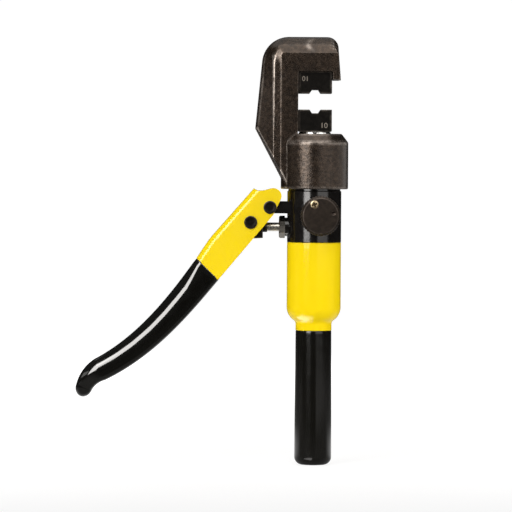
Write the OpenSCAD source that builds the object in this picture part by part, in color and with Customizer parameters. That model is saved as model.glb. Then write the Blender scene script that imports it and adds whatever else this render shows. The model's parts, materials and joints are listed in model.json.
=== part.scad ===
// Hand-held hydraulic crimping tool.
// +Z runs up the tool towards its head, +X is the open side of the jaw and -Y is the front.
// The origin lies on the tool's axis, at the middle of the fixed grip. Millimetres and degrees.

/* [Fixed grip] */
// Length of the rubber sleeve
grip_len = 101; // [90:1:130]
// Outside diameter of the sleeve at its top end
grip_top_d = 26.8; // [25:0.2:32]
// Outside diameter of the sleeve at its lower end
grip_low_d = 28; // [26:0.2:34]
// Rounding of the sleeve's closed end
grip_end_r = 6; // [3:0.5:8]
// Thickness of the sleeve's closed end
grip_end_t = 4.4; // [3:0.2:8]
// Outside diameter of the steel tube inside the sleeve
tube_d = 21; // [19:0.5:23]
// Wall of the steel tube
tube_wall = 2; // [1.5:0.25:3]
// Length of the tube inside the reservoir's neck
tube_grip = 13.5; // [10:0.5:15]

/* [Reservoir] */
// Height from the end of the neck to the rim
reservoir_h = 66; // [60:1:90]
// Wall at the threaded rim
reservoir_wall = 3.2; // [2.6:0.1:3.6]
// Outside diameter of the neck
neck_d = 27; // [26:0.2:32]
// Height of the shoulder's centre above the end of the neck
shoulder_up = 17.4; // [16:0.2:22]
// Radius of the round shoulder
shoulder_r = 12; // [10:0.5:13]
// Radius of the fillet between shoulder and neck
neck_fillet_r = 3.5; // [2:0.25:5]
// Thickness of the rubber oil bladder
bladder_t = 1.2; // [0.8:0.1:2]

/* [Pump body] */
// Height of the pump body between reservoir and head
pump_h = 39; // [38:0.5:48]
// Bore of the ram's cylinder
bore_d = 32; // [30:0.5:36]
// Wall of the ram's cylinder
cylinder_wall = 3.5; // [3:0.25:5]
// Height of the cylinder above the body's shoulder
cylinder_h = 28; // [26:0.5:34]
// Step from the cylinder out to the body
body_step = 0.75; // [0.5:0.05:2]
// Depth of the oil chamber below the shoulder
chamber_depth = 5.5; // [4:0.25:7]
// Height of the threaded spigot inside the reservoir
spigot_h = 12; // [10:0.5:16]

/* [Pump mechanism] */
// Diameter of the pump plunger
plunger_d = 6.5; // [5.5:0.25:8]
// Height of the plunger above the body's lower end
plunger_up = 11.5; // [11:0.25:13]
// Reach of the plunger's bore past the tool's axis
pump_bore_reach = 6; // [5:0.25:9]
// Free bore ahead of the plunger with the handle open
plunger_room = 12; // [10:0.5:14]
// Size of the gland nut across its corners
gland_nut_d = 16.8; // [15:0.2:18]
// Thickness of the gland nut's head
gland_nut_t = 4.4; // [3.5:0.1:6]
// Diameter of the gland nut's thread
gland_thread_d = 12; // [11:0.25:13]
// Wall of the crosshead around its slot
yoke_wall = 3; // [2:0.25:4]
// Length of the crosshead between its slot and the plunger
yoke_nose = 5.8; // [5:0.2:7]

/* [Moving handle] */
// Tilt of the open handle from the tool's axis
handle_tilt = 40; // [36:0.5:44]
// Swing of the handle from open to closed
handle_swing = 34; // [28:1:36]
// Height of the pivot above the body's lower end
pivot_up = 26.2; // [25.6:0.2:28]
// Reach of the pivot from the side of the body
pivot_out = 13.15; // [12.5:0.05:16]
// Diameter of the pivot and drive pins
pin_d = 6; // [5:0.25:7]
// Drive pin's place along the handle, from the pivot
drive_along = 17.9; // [17:0.1:19]
// Drive pin's place across the handle, towards the web
drive_across = 3.76; // [3:0.02:4.5]
// Width of the steel channel
channel_w = 22; // [20:0.5:26]
// Thickness of the channel's sheet
sheet_t = 2.5; // [2:0.1:2.6]
// Radius of the channel's folds
fold_r = 5; // [4:0.25:6]
// Outer face of the web above the pivot's line, at the open end
web_out = 17.9; // [16:0.1:20]
// Lower edge of the flanges below the pivot's line
flange_drop = 5.6; // [5:0.1:7]
// Rise of the web's outer face up to the channel's bend
web_rise = 1.3; // [0:0.1:2]
// Place of the bend along the handle
bend_along = 47; // [42:0.5:52]
// Place of the black grip's mouth along the handle
mouth_along = 65; // [60:0.5:75]
// Centre of the grip at its mouth, across the handle
mouth_across = 5.7; // [5:0.1:6.5]
// Length of the grip's long curve
grip_curve_len = 112; // [90:1:130]
// Length of the hook at the grip's end
hook_len = 18; // [15:0.5:24]
// Depth of the grip at its mouth
grip_mouth_h = 23.4; // [22:0.2:26]
// Depth of the grip at the start of the hook
grip_hook_h = 17.6; // [16:0.2:20]
// Depth of the grip at its tip
grip_tip_h = 12.6; // [10:0.2:14]
// Wall of the dipped grip
grip_wall = 1.6; // [1.2:0.1:2]

/* [Head] */
// Thickness of the forged C-frame
head_t = 28; // [26:0.5:34]
// Height of the round skirt
skirt_h = 41.5; // [40:0.5:50]
// Wall of the skirt around the cylinder
skirt_wall = 5.7; // [4.5:0.1:7]
// Gap between the skirt and the pump body
head_gap = 1; // [0.6:0.1:2]
// Width of the chamfer round the skirt's top
skirt_chamfer_w = 5; // [3:0.25:5.5]
// Height of that chamfer
skirt_chamfer_h = 6.5; // [5:0.25:8]
// Length of the ram's guide under the jaw
guide_len = 10; // [8:0.5:11]
// Height of the jaw above its die
jaw_h = 26; // [22:0.5:32]
// Reach of the jaw's open end from the axis
jaw_reach = 19.4; // [18:0.05:24]
// Drop of the lip at the jaw's open end
lip_drop = 6.5; // [4:0.25:9]
// Reach of the spine's lowest corner behind the axis
spine_reach = 44.6; // [40:0.1:50]
// Height of that corner above the skirt's top
spine_corner_up = 4.2; // [3:0.1:8]
// Reach of the spine behind the axis below its round top corner
spine_top_reach = 39.9; // [36:0.1:42]
// Radius of the spine's top corner
spine_top_r = 20.4; // [16:0.2:21]
// Radius of the spine's lowest corner
spine_corner_r = 2.5; // [2:0.25:5]
// Radius of the jaw's top corner
jaw_r = 8.5; // [6:0.25:10]
// Width of the sloping outer band of the forging
outer_band = 9.5; // [6:0.25:10]
// Width of the inner band, next to the flat face
inner_band = 5.6; // [4:0.2:6]
// Height of the spine's foot above the skirt's lower edge
foot_up = 3.25; // [3:0.25:10]

/* [Ram and dies] */
// Diameter of the ram's rod
rod_d = 24; // [22:0.25:26]
// Height of the ram's piston
piston_h = 12; // [11:0.25:14]
// Height of the ram above the skirt with the jaw open
ram_proud = 1.5; // [0.5:0.1:3]
// Stroke of the ram, which is the gap between the dies
stroke = 12; // [8:0.5:13]
// Width of each die
die_w = 25; // [22:0.25:26]
// Height of each die
die_h = 16.5; // [14:0.25:18]
// Depth of each die, front to back
die_d = 20; // [18:0.5:24]
// Width of the die's crimping groove at its mouth
groove_mouth = 8.5; // [6:0.25:12]
// Width of the groove's flat floor
groove_floor = 4.9; // [3:0.1:6]
// Depth of the groove
groove_depth = 2.7; // [2:0.1:5]
// Diameter of the die's stem
stem_d = 8; // [7.5:0.25:10]
// Length of the die's stem
stem_len = 10; // [9:0.5:12]
// Wire of the ram's return spring
ram_wire = 2.2; // [1.8:0.1:2.4]

/* [Release valve] */
// Diameter of the release knob
knob_d = 30; // [28:0.5:31]
// Thickness of the knob
knob_t = 8; // [6:0.25:10]
// Place of the knob beside the tool's axis
knob_side = 4.1; // [3:0.1:5]
// Height of the knob above the body's lower end
knob_up = 20.1; // [19:0.1:22]
// Turn from closed to fully open
release_turn = 90; // [60:5:100]
// Distance of the stop screw from the knob's centre
stop_r = 9.85; // [9:0.05:10.5]
// Angle of the stop screw, seen from the front
stop_angle = 118.6; // [110:0.2:125]
// Diameter of the stop screw's head
stop_head_d = 6.2; // [5:0.1:7]

/* [Hidden] */
$fn = 64;

// One overrun for every cut
over = 1;
// Running fits, seats of pieces that move together, and the slack of a seal
running_fit = 0.05;
seat_fit = 0.02;
face_gap = 0.3;
// Small edge break on turned pieces
edge = 0.8;

// Levels up the tool
reservoir_z = grip_len / 2;
body_z = reservoir_z + reservoir_h;
shoulder_z = body_z + pump_h;
chamber_z = shoulder_z - chamber_depth;
skirt_z = shoulder_z + head_gap;
skirt_top_z = skirt_z + skirt_h;
ram_top_z = skirt_top_z + ram_proud;
gap_low_z = ram_top_z + die_h;
gap_top_z = gap_low_z + stroke;
ceiling_z = gap_top_z + die_h;
head_top_z = ceiling_z + jaw_h;

// Radii that the stack of pieces shares
cylinder_r = bore_d / 2 + cylinder_wall;
body_r = cylinder_r + body_step;
skirt_r = cylinder_r + running_fit + skirt_wall;
spigot_r = body_r - reservoir_wall - running_fit;
neck_r = neck_d / 2;
tube_r = tube_d / 2;

// Reservoir: bladder flange, cavity and the floor over the tube
flange_t = 2.4;
flange_seat = 1.5;
cavity_r = spigot_r - flange_seat;
flange_z = body_z - spigot_h - flange_t;
tube_top_z = reservoir_z + tube_grip;
reservoir_floor = 3;
cavity_z = tube_top_z + reservoir_floor;
vent_r = 3;
bladder_gap = 0.3;
bladder_end_r = 8;

// Fixed grip: end plug of the tube
plug_len = 10;
plug_flange_t = 1.5;
tube_end_z = -grip_len / 2 + grip_end_t + plug_flange_t + face_gap;

// Valves: small bores, balls on their seats, and springs
valve_r = 3;
ball_r = 2;
port_r = 1.25;
valve_wire_r = 0.3;
valve_turns = 4;
relief_turns = 6;
port_x = pump_bore_reach - port_r - seat_fit;
plunger_z = body_z + plunger_up;
plunger_r = plunger_d / 2;
valve_len = 6;
inlet_z = body_z - spigot_h;
inlet_stop_z = plunger_z - plunger_r - 2 * port_r;
outlet_seat_z = plunger_z + plunger_r + valve_len;
outlet_plug_t = 4;
relief_x = -2;
relief_y = 10;
relief_stop_z = chamber_z - 2 * valve_len;
relief_screw_len = 8;

// Gland and crosshead along the plunger's axis
boss_out = 1.75;
gland_boss_r = 7;
gland_x = -body_r - boss_out;
gland_nut_x = gland_x - gland_nut_t;
packing_t = 4;
gland_thread_len = 9;
packing_x = gland_x + gland_thread_len;
bore_start_x = packing_x + packing_t;

// Pivot, drive pin and the crosshead's slot
pin_r = pin_d / 2;
pivot_x = -body_r - pivot_out;
pivot_z = body_z + pivot_up;
drive_r = sqrt(drive_along * drive_along + drive_across * drive_across);
drive_angle = handle_tilt + atan2(drive_across, drive_along);
closed_angle = max(drive_angle - handle_swing, 0);
drive_x = pivot_x - drive_r * sin(drive_angle);
drive_z = pivot_z - drive_r * cos(drive_angle);
slot_room = 0.4;
slot_r = pin_r + slot_room;
slot_low_z = pivot_z - drive_r * cos(closed_angle) - slot_r;
slot_high_z = drive_z + slot_r;
eye_wall = 2.5;
eye_r = pin_r + eye_wall;
lug_gap = 0.4;
lug_h = 9;
lug_side = 0.3;
block_t = channel_w - 2 * sheet_t - 2 * lug_side;
lug_flat = 1.85;
lug_face_x = -body_r + lug_flat;
lug_spigot_r = 4;
lug_spigot_len = 7;
yoke_x = drive_x - slot_r - yoke_wall;
yoke_nose_x = drive_x + slot_r + yoke_nose;
yoke_low_z = slot_low_z - yoke_wall;
yoke_top_z = pivot_z - eye_r - lug_gap;
yoke_chamfer = 2;
yoke_slope = 2.6;
collar_r = 4;
collar_len = 2.6;
plunger_start_x = drive_x + slot_r + edge;
plunger_tip_x = pump_bore_reach - plunger_room;

// Pins and their clips
pin_head_r = 4.9;
pin_head_t = 1.2;
clip_t = 0.8;
clip_depth = 0.6;
clip_out = 2;
pin_tail = 1.9;

// Channel: the open ear round the pivot, and its nose
nose_along = -8.2;
nose_across = 3.3;
nose_r = 5.9;
ear_dip_along = -6.5;
ear_dip_across = 11.6;
web_end_along = -3.2;
ear_heel_along = 3;
channel_start = nose_along - nose_r - edge;
fold_steps = 6;

// Grip of the moving handle: its curve and its sections
bend_start = -2.7;
bend_even = 4;
bend_rising = 22;
hook_turn = -43;
grip_proud = 0.3;
grip_t = channel_w + 2 * grip_proud;
grip_tip_t = 15;
grip_mouth_r = 6.6;
grip_web_r = 9.5;
round_share = 0.2;
grip_palm_r = 3.5;
grip_corner_share = 0.46;
depth_power = 0.8;
curve_rings = 22;
hook_rings = 10;
tip_rings = 5;
tip_reach = 7.6;
tip_last_angle = 82;
core_end_share = 0.94;
core_last = floor(core_end_share * curve_rings);
core_fit = 0.15;
mouth_groove = 0.6;
section_steps = 4;

// Head: bands of the forging, front view corners
spine_x = -die_w / 2 - face_gap;
lip_gap = 0.6;
lip_x = die_w / 2 + lip_gap;
edge_half_t = 3;
band_step = 2;
band_half_t = head_t / 2 - band_step;
face_half_t = head_t / 2;
outer_band_top = 6.9;
inner_band_top = 5.2;
foot_bevel = 2;
foot_x = -23;
foot_z = skirt_z + foot_up;
corner_z = skirt_top_z + spine_corner_up;
small_r = 1.5;
lip_lean = 1.8;
spring_z = skirt_top_z - guide_len;
cylinder_top_z = shoulder_z + cylinder_h;
neck_room = 1.5;

// Ram, its seal and spring
ram_rest = 1;
piston_r = bore_d / 2 - running_fit;
piston_z = chamber_z + ram_rest;
piston_top_z = piston_z + piston_h;
seal_up = 3;
seal_groove_z = piston_z + seal_up;
seal_h = 4;
seal_depth = 2.5;
rod_r = rod_d / 2;
ram_turns = 4;
ram_coil_r = (rod_r + bore_d / 2) / 2;

// Die stems with their ball detents
stem_r = stem_d / 2;
stem_room = 1;
detent_ball_r = 1.5;
detent_depth = 0.5;
detent_hole = 5.2;
detent_seat_share = 0.8;
detent_z_share = 0.5;
detent_wire_r = 0.25;
detent_turns = 2.5;
die_chamfer = 0.5;

// Release valve across the body
knob_x = knob_side;
knob_z = body_z + knob_up;
knob_boss_r = 13;
knob_boss_out = 0.65;
knob_boss_y = -body_r - knob_boss_out;
knob_back_y = knob_boss_y - face_gap;
knob_front_y = knob_back_y - knob_t;
knob_chamfer = 1.8;
knob_grip_count = 40;
knob_grip_r = 0.7;
dimple_r = 1.2;
dimple_angle = 12.7;
spindle_r = 4;
spindle_in = 4;
release_seat_y = -8.5;
release_ball_y = release_seat_y - sqrt(ball_r * ball_r - port_r * port_r);
spindle_tip_y = release_ball_y - ball_r;
return_y = spindle_tip_y + port_r;
seat_t = 2;
supply_y = release_seat_y + seat_t;
spindle_nose = 4;
spindle_seal_y = spindle_tip_y - spindle_nose;
spindle_seal_r = 2.9;
spindle_seal_t = 2;
stop_pin_r = 1.4;
stop_head_t = 2.4;
stop_sink = 0.3;
stop_in = 1.8;
recess_len = 4;
recess_w = 1.1;
recess_depth = 1;
recess_turn = 20;

// Cylinders along each axis between two places
module z_bar(r, z0, z1) {
    translate([0, 0, z0]) cylinder(r = r, h = z1 - z0);
}

module x_bar(r, x0, x1) {
    translate([x0, 0, 0]) rotate([0, 90, 0]) cylinder(r = r, h = x1 - x0);
}

module y_bar(r, y0, y1) {
    translate([0, y0, 0]) rotate([-90, 0, 0]) cylinder(r = r, h = y1 - y0);
}

// A ring turned about Z, and a turned piece whose two rims have an edge break
module z_ring(r_out, r_in, z0, z1) {
    rotate_extrude() translate([r_in, z0]) square([r_out - r_in, z1 - z0]);
}

module z_turned(r, z0, z1, b0, b1) {
    rotate_extrude() polygon([[0, z0], [r - b0, z0], [r, z0 + b0], [r, z1 - b1], [r - b1, z1], [0, z1]]);
}

// An outline in the front view, drawn in X and Z, as a plate centred on Y
module front_plate(t) {
    rotate([90, 0, 0]) linear_extrude(height = t, center = true) children();
}

// The handle's own frame: X along the open handle from the pivot, Y towards the web, Z to the back
module in_handle() {
    translate([pivot_x, 0, pivot_z]) rotate([0, 90 + handle_tilt, 0]) rotate([-90, 0, 0]) children();
}

// The release valve's axis
module at_knob() {
    translate([knob_x, 0, knob_z]) children();
}

// A solid through a list of rings that all have the same even number of points. Each end is closed
// by a strip of triangles across its ring, which suits an open channel as well as a round wire
module skin_rings(rings) {
    n = len(rings[0]);
    last = len(rings) - 1;
    sides = [for (i = [0 : last - 1], j = [0 : n - 1], half = [0, 1])
        let (k = (j + 1) % n, a = i * n, b = a + n)
        half == 0 ? [a + k, a + j, b + j] : [b + k, a + k, b + j]];
    caps = [for (j = [0 : n / 2 - 2], far = [0, 1], half = [0, 1])
        let (a = j, b = j + 1, c = n - 2 - j, d = n - 1 - j, s = far * last * n)
        far == 0 ? (half == 0 ? [a, b, c] : [a, c, d])
            : (half == 0 ? [s + c, s + b, s + a] : [s + d, s + c, s + a])];
    polyhedron(points = [for (ring = rings) each ring], faces = concat(sides, caps));
}

// A coil spring on Z as one tube: a circle of the wire carried along a helix
module coil(mean_r, wire_r, z0, z1, turns) {
    steps = 12;
    sides = 6;
    pitch = (z1 - z0 - 2 * wire_r) / turns;
    lead = atan2(pitch, 2 * PI * mean_r);
    skin_rings([for (i = [0 : turns * steps]) let (
        a = 360 * i / steps,
        out = [cos(a), sin(a), 0],
        up = [sin(a) * sin(lead), -cos(a) * sin(lead), cos(lead)],
        centre = mean_r * out + [0, 0, z0 + wire_r + pitch * i / steps])
        [for (j = [0 : sides - 1]) let (b = -360 * j / sides)
            centre + wire_r * (cos(b) * out + sin(b) * up)]]);
    echo(coil_gap = pitch * cos(lead) - 2 * wire_r);
}

// A steel ball
module ball(r) {
    sphere(r = r);
}

// Pump body: shoulder, cylinder, spigot, bosses, the plunger's bore and the oil ways
module pump_body() {
    color([0.09, 0.09, 0.1]) difference() {
        union() {
            z_turned(body_r, body_z, shoulder_z, edge / 2, edge);
            z_turned(cylinder_r, shoulder_z - over, cylinder_top_z, 0, edge);
            z_turned(spigot_r, body_z - spigot_h, body_z + over, edge, 0);
            translate([0, 0, plunger_z]) x_bar(gland_boss_r, gland_x, 0);
            at_knob() y_bar(knob_boss_r, knob_boss_y, 0);
        }
        z_bar(bore_d / 2, chamber_z, cylinder_top_z + over);
        translate([0, 0, plunger_z]) plunger_bores();
        valve_bores();
        at_knob() release_bores();
        lug_seat();
    }
}

// Bores on the plunger's axis: gland thread, packing and plunger
module plunger_bores() {
    x_bar(gland_thread_d / 2, gland_x - over, bore_start_x);
    x_bar(plunger_r + running_fit, bore_start_x - over, pump_bore_reach);
}

// Upright oil ways: inlet, outlet and overload relief
module valve_bores() {
    translate([port_x, 0, 0]) {
        z_bar(valve_r, inlet_z - over, inlet_stop_z);
        z_bar(port_r, inlet_stop_z - over, outlet_seat_z + over);
        z_bar(valve_r, outlet_seat_z, chamber_z + over);
    }
    translate([relief_x, relief_y, 0]) {
        z_bar(valve_r, inlet_z - over, relief_stop_z);
        z_bar(port_r, relief_stop_z - over, chamber_z + over);
    }
}

// Cross bore of the release spindle, its ball seat, its two oil ways and the stop groove
module release_bores() {
    y_bar(spindle_r + running_fit, knob_boss_y - over, spindle_tip_y);
    y_bar(ball_r + seat_fit, spindle_tip_y - over, release_seat_y);
    y_bar(port_r, release_seat_y - over, supply_y);
    translate([0, supply_y, 0]) z_bar(port_r, 0, chamber_z - knob_z + over);
    translate([0, return_y, 0]) z_bar(port_r, inlet_z - knob_z - over, 0);
    stop_groove();
}

// Round groove in the boss that limits the knob's turn
module stop_groove() {
    groove_r = stop_pin_r + face_gap;
    turned = [for (i = [0 : 1]) stop_angle + i * release_turn];
    translate([0, knob_boss_y - over, 0]) rotate([-90, 0, 0]) {
        rotate([0, 0, -turned[1]]) rotate_extrude(angle = release_turn)
            translate([stop_r - groove_r, 0]) square([2 * groove_r, stop_in + over + face_gap]);
        for (a = turned)
            rotate([0, 0, -a]) translate([stop_r, 0, 0])
                cylinder(r = groove_r, h = stop_in + over + face_gap);
    }
}

// Milled flat and spigot hole for the fulcrum lug
module lug_seat() {
    translate([-body_r - over, -block_t / 2 - seat_fit, pivot_z - lug_h / 2 - seat_fit])
        cube([lug_flat + over, block_t + 2 * seat_fit, lug_h + 2 * seat_fit]);
    translate([0, 0, pivot_z])
        x_bar(lug_spigot_r + seat_fit, lug_face_x - over, lug_face_x + lug_spigot_len + face_gap);
}

// Reservoir: a turned cup with a round shoulder and a narrow neck
module reservoir() {
    arc_x = body_r - shoulder_r;
    arc_z = reservoir_z + shoulder_up;
    fillet_x = neck_r + neck_fillet_r;
    reach = shoulder_r + neck_fillet_r;
    fillet_z = arc_z - sqrt(reach * reach - (fillet_x - arc_x) * (fillet_x - arc_x));
    touch = [arc_x, arc_z] + shoulder_r / reach * [fillet_x - arc_x, fillet_z - arc_z];
    color([0.98, 0.86, 0.06]) difference() {
        rotate_extrude() difference() {
            union() {
                translate([0, arc_z]) square([body_r, body_z - arc_z]);
                intersection() {
                    translate([arc_x, arc_z]) circle(r = shoulder_r);
                    translate([0, arc_z - shoulder_r]) square([body_r, shoulder_r + over]);
                }
                polygon([[0, reservoir_z], [neck_r, reservoir_z], [neck_r, fillet_z],
                    [fillet_x, fillet_z], touch, [arc_x, arc_z + over], [0, arc_z + over]]);
            }
            translate([fillet_x, fillet_z]) circle(r = neck_fillet_r);
        }
        z_bar(spigot_r + running_fit, flange_z, body_z + over);
        z_bar(cavity_r, cavity_z, flange_z + over);
        z_bar(tube_r + seat_fit, reservoir_z - over, tube_top_z);
        z_bar(vent_r, tube_top_z - over, cavity_z + over);
    }
}

// Oil bladder: a rubber bag whose flange is clamped under the spigot
module oil_bladder() {
    bag_r = cavity_r - bladder_gap;
    bag_z = cavity_z + bladder_gap;
    color([0.12, 0.12, 0.12]) rotate_extrude() difference() {
        union() {
            translate([0, flange_z]) square([spigot_r, flange_t]);
            translate([0, bag_z + bladder_end_r]) square([bag_r, flange_z + over - bag_z - bladder_end_r]);
            translate([0, bag_z]) square([bag_r - bladder_end_r, bladder_end_r + over]);
            intersection() {
                translate([bag_r - bladder_end_r, bag_z + bladder_end_r]) circle(r = bladder_end_r);
                translate([0, bag_z]) square([bag_r, bladder_end_r + over]);
            }
        }
        union() {
            inner_r = bag_r - bladder_t;
            translate([0, bag_z + bladder_end_r])
                square([inner_r, flange_z + flange_t + over - bag_z - bladder_end_r]);
            translate([0, bag_z + bladder_t]) square([bag_r - bladder_end_r, bladder_end_r]);
            intersection() {
                translate([bag_r - bladder_end_r, bag_z + bladder_end_r])
                    circle(r = bladder_end_r - bladder_t);
                translate([0, bag_z]) square([bag_r, bladder_end_r + over]);
            }
        }
    }
}

// Steel tube of the fixed grip, and the plug in its lower end
module grip_tube() {
    color([0.6, 0.6, 0.62]) z_ring(tube_r, tube_r - tube_wall, tube_end_z, tube_top_z);
}

module tube_plug() {
    color([0.2, 0.2, 0.2]) {
        z_turned(tube_r - tube_wall - seat_fit, tube_end_z - plug_flange_t / 2, tube_end_z + plug_len,
            0, edge);
        z_turned(tube_r, tube_end_z - plug_flange_t, tube_end_z, edge / 2, 0);
    }
}

// Rubber sleeve of the fixed grip: a slight taper and a round closed end
module grip_sleeve() {
    top_r = grip_top_d / 2;
    low_r = grip_low_d / 2;
    low_z = -grip_len / 2;
    color([0.07, 0.07, 0.08]) difference() {
        rotate_extrude() union() {
            polygon([[0, low_z + grip_end_r], [low_r, low_z + grip_end_r], [top_r, reservoir_z - edge],
                [top_r - edge, reservoir_z], [0, reservoir_z]]);
            translate([0, low_z]) square([low_r - grip_end_r, grip_end_r + over]);
            intersection() {
                translate([low_r - grip_end_r, low_z + grip_end_r]) circle(r = grip_end_r);
                translate([0, low_z]) square([low_r, grip_end_r + seat_fit]);
            }
        }
        z_bar(tube_r + seat_fit, low_z + grip_end_t, reservoir_z + over);
    }
}

// Fulcrum lug that carries the handle's pivot
module fulcrum_lug() {
    color([0.13, 0.13, 0.14]) difference() {
        translate([0, 0, pivot_z]) union() {
            translate([pivot_x, -block_t / 2, -lug_h / 2]) cube([lug_face_x - pivot_x, block_t, lug_h]);
            translate([pivot_x, 0, 0]) y_bar(eye_r, -block_t / 2, block_t / 2);
            x_bar(lug_spigot_r, lug_face_x - over, lug_face_x + lug_spigot_len);
        }
        translate([pivot_x, 0, pivot_z]) y_bar(pin_r + running_fit, -block_t, block_t);
    }
}

// Gland nut: hex head and plain-turned thread, bored for the plunger
module gland_nut() {
    color([0.55, 0.55, 0.57]) translate([0, 0, plunger_z]) difference() {
        union() {
            intersection() {
                translate([gland_nut_x, 0, 0]) rotate([0, 90, 0])
                    cylinder(d = gland_nut_d, h = gland_nut_t, $fn = 6);
                translate([gland_nut_x, 0, 0]) rotate([0, 90, 0])
                    z_turned(gland_nut_d / 2, 0, gland_nut_t, edge, 0);
            }
            x_bar(gland_thread_d / 2 - seat_fit, gland_x - over, packing_x);
        }
        x_bar(plunger_r + running_fit, gland_nut_x - over, packing_x + over);
    }
}

// Packing ring round the plunger
module plunger_packing() {
    color([0.15, 0.13, 0.12]) translate([0, 0, plunger_z]) rotate([0, 90, 0])
        z_ring(gland_thread_d / 2 - seat_fit, plunger_r + seat_fit, packing_x, bore_start_x - seat_fit);
}

// Inlet valve: a seat screwed into the spigot, a ball on it and a light spring
inlet_seat_z = inlet_z + valve_len;
ball_rise = sqrt(ball_r * ball_r - port_r * port_r);
module inlet_seat() {
    color([0.75, 0.62, 0.3]) translate([port_x, 0, 0])
        z_ring(valve_r - seat_fit, port_r, inlet_z, inlet_seat_z);
}

module inlet_ball() {
    color([0.75, 0.75, 0.77]) translate([port_x, 0, inlet_seat_z + ball_rise + seat_fit]) ball(ball_r);
}

module inlet_spring() {
    color([0.6, 0.6, 0.62]) translate([port_x, 0, 0])
        coil(ball_r / 2 + valve_wire_r, valve_wire_r,
            inlet_seat_z + ball_rise + ball_r + seat_fit, inlet_stop_z - seat_fit, valve_turns);
}

// Outlet valve: the ball sits on the port's rim, under a spring and a drilled plug
module outlet_ball() {
    color([0.75, 0.75, 0.77]) translate([port_x, 0, outlet_seat_z + ball_rise + seat_fit]) ball(ball_r);
}

module outlet_spring() {
    color([0.6, 0.6, 0.62]) translate([port_x, 0, 0])
        coil(ball_r / 2 + valve_wire_r, valve_wire_r,
            outlet_seat_z + ball_rise + ball_r + seat_fit, chamber_z - outlet_plug_t - seat_fit,
            valve_turns);
}

module outlet_plug() {
    color([0.75, 0.62, 0.3]) translate([port_x, 0, 0])
        z_ring(valve_r - seat_fit, port_r, chamber_z - outlet_plug_t, chamber_z);
}

// Overload relief: ball under the chamber's port, a strong spring and its adjusting screw
relief_ball_z = relief_stop_z - ball_rise - seat_fit;
module relief_ball() {
    color([0.75, 0.75, 0.77]) translate([relief_x, relief_y, relief_ball_z]) ball(ball_r);
}

module relief_spring() {
    color([0.6, 0.6, 0.62]) translate([relief_x, relief_y, 0])
        coil(valve_r - 2 * valve_wire_r - seat_fit, 2 * valve_wire_r - seat_fit,
            inlet_z + relief_screw_len + seat_fit, relief_ball_z - ball_r - seat_fit, relief_turns);
}

module relief_screw() {
    color([0.55, 0.55, 0.57]) translate([relief_x, relief_y, 0])
        z_ring(valve_r - seat_fit, port_r, inlet_z, inlet_z + relief_screw_len);
}

// Ball of the release valve, held on its seat by the spindle
module release_ball() {
    color([0.75, 0.75, 0.77]) at_knob() translate([0, release_ball_y - seat_fit / 2, 0]) ball(ball_r);
}

// A disc on Y at one corner of the forging's front view
module corner(x, z, r, half_t) {
    translate([x, 0, z]) y_bar(r, -half_t, half_t, $fn = 32);
}

// Height of the spine's lower slope at a place behind the axis, set in by a distance
function slope_z(x, inset) =
    let (run = spine_reach + foot_x, rise = corner_z - foot_z, length = sqrt(run * run + rise * rise))
    foot_z + (foot_x - x) * rise / run + inset * length / run;

// The forging before its cuts: three outlines, each smaller and thicker than the last
module forging() {
    band_x = -spine_top_reach + outer_band;
    face_x = band_x + inner_band;
    band_top = head_top_z - outer_band_top;
    face_top = band_top - inner_band_top;
    top_x = -spine_top_reach + spine_top_r;
    band_r = spine_top_r - outer_band;
    hull() {
        corner(top_x, head_top_z - spine_top_r, spine_top_r, edge_half_t);
        corner(jaw_reach - lip_lean - jaw_r, head_top_z - jaw_r, jaw_r, edge_half_t);
        corner(-spine_reach + spine_corner_r, corner_z, spine_corner_r, edge_half_t);
        corner(foot_x + small_r, foot_z + small_r, small_r, edge_half_t);
        corner(band_x + band_r, band_top - band_r, band_r, band_half_t);
        corner(jaw_reach - lip_lean - jaw_r / 2, band_top - jaw_r / 2, jaw_r / 2, band_half_t);
        corner(band_x + small_r, slope_z(band_x, foot_bevel) + small_r, small_r, band_half_t);
        corner(face_x + small_r, face_top - small_r, small_r, face_half_t);
        corner(jaw_reach - lip_lean / 2 - small_r, face_top - small_r, small_r, face_half_t);
        corner(face_x + small_r, slope_z(face_x, foot_bevel) + small_r, small_r, face_half_t);
        corner(foot_x + 2 * small_r, foot_z + 2 * foot_bevel, small_r, face_half_t);
        corner(jaw_reach - small_r, ceiling_z - lip_drop - small_r, small_r, face_half_t);
    }
}

// Outline of the throat between the spine, the skirt's top and the jaw with its lip
module throat() {
    lip_z = ceiling_z - lip_drop;
    open_x = jaw_reach + over;
    polygon([[spine_x, skirt_top_z], [open_x, skirt_top_z], [open_x, lip_z], [lip_x, lip_z],
        [lip_x, ceiling_z], [spine_x, ceiling_z]]);
}

// Head: the forged C-frame on its round skirt, bored for cylinder, spring, ram and die
module crimp_head() {
    color([0.17, 0.14, 0.13]) difference() {
        union() {
            difference() {
                forging();
                front_plate(head_t + 2 * over) throat();
            }
            rotate_extrude() polygon([[0, skirt_z], [skirt_r - edge, skirt_z], [skirt_r, skirt_z + edge],
                [skirt_r, skirt_top_z - skirt_chamfer_h], [skirt_r - skirt_chamfer_w, skirt_top_z],
                [0, skirt_top_z]]);
        }
        z_bar(cylinder_r + running_fit, skirt_z - over, cylinder_top_z + neck_room);
        z_bar(bore_d / 2, skirt_z, spring_z);
        z_bar(rod_r + running_fit, spring_z - over, skirt_top_z + over);
        z_bar(stem_r + running_fit, ceiling_z - over, ceiling_z + stem_len + stem_room);
        detent_groove(ceiling_z + stem_len * detent_z_share);
    }
}

// Groove in a stem's bore that its detent ball snaps into
module detent_groove(z) {
    z_bar(stem_r + detent_depth + running_fit, z - detent_ball_r, z + detent_ball_r);
}

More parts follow.
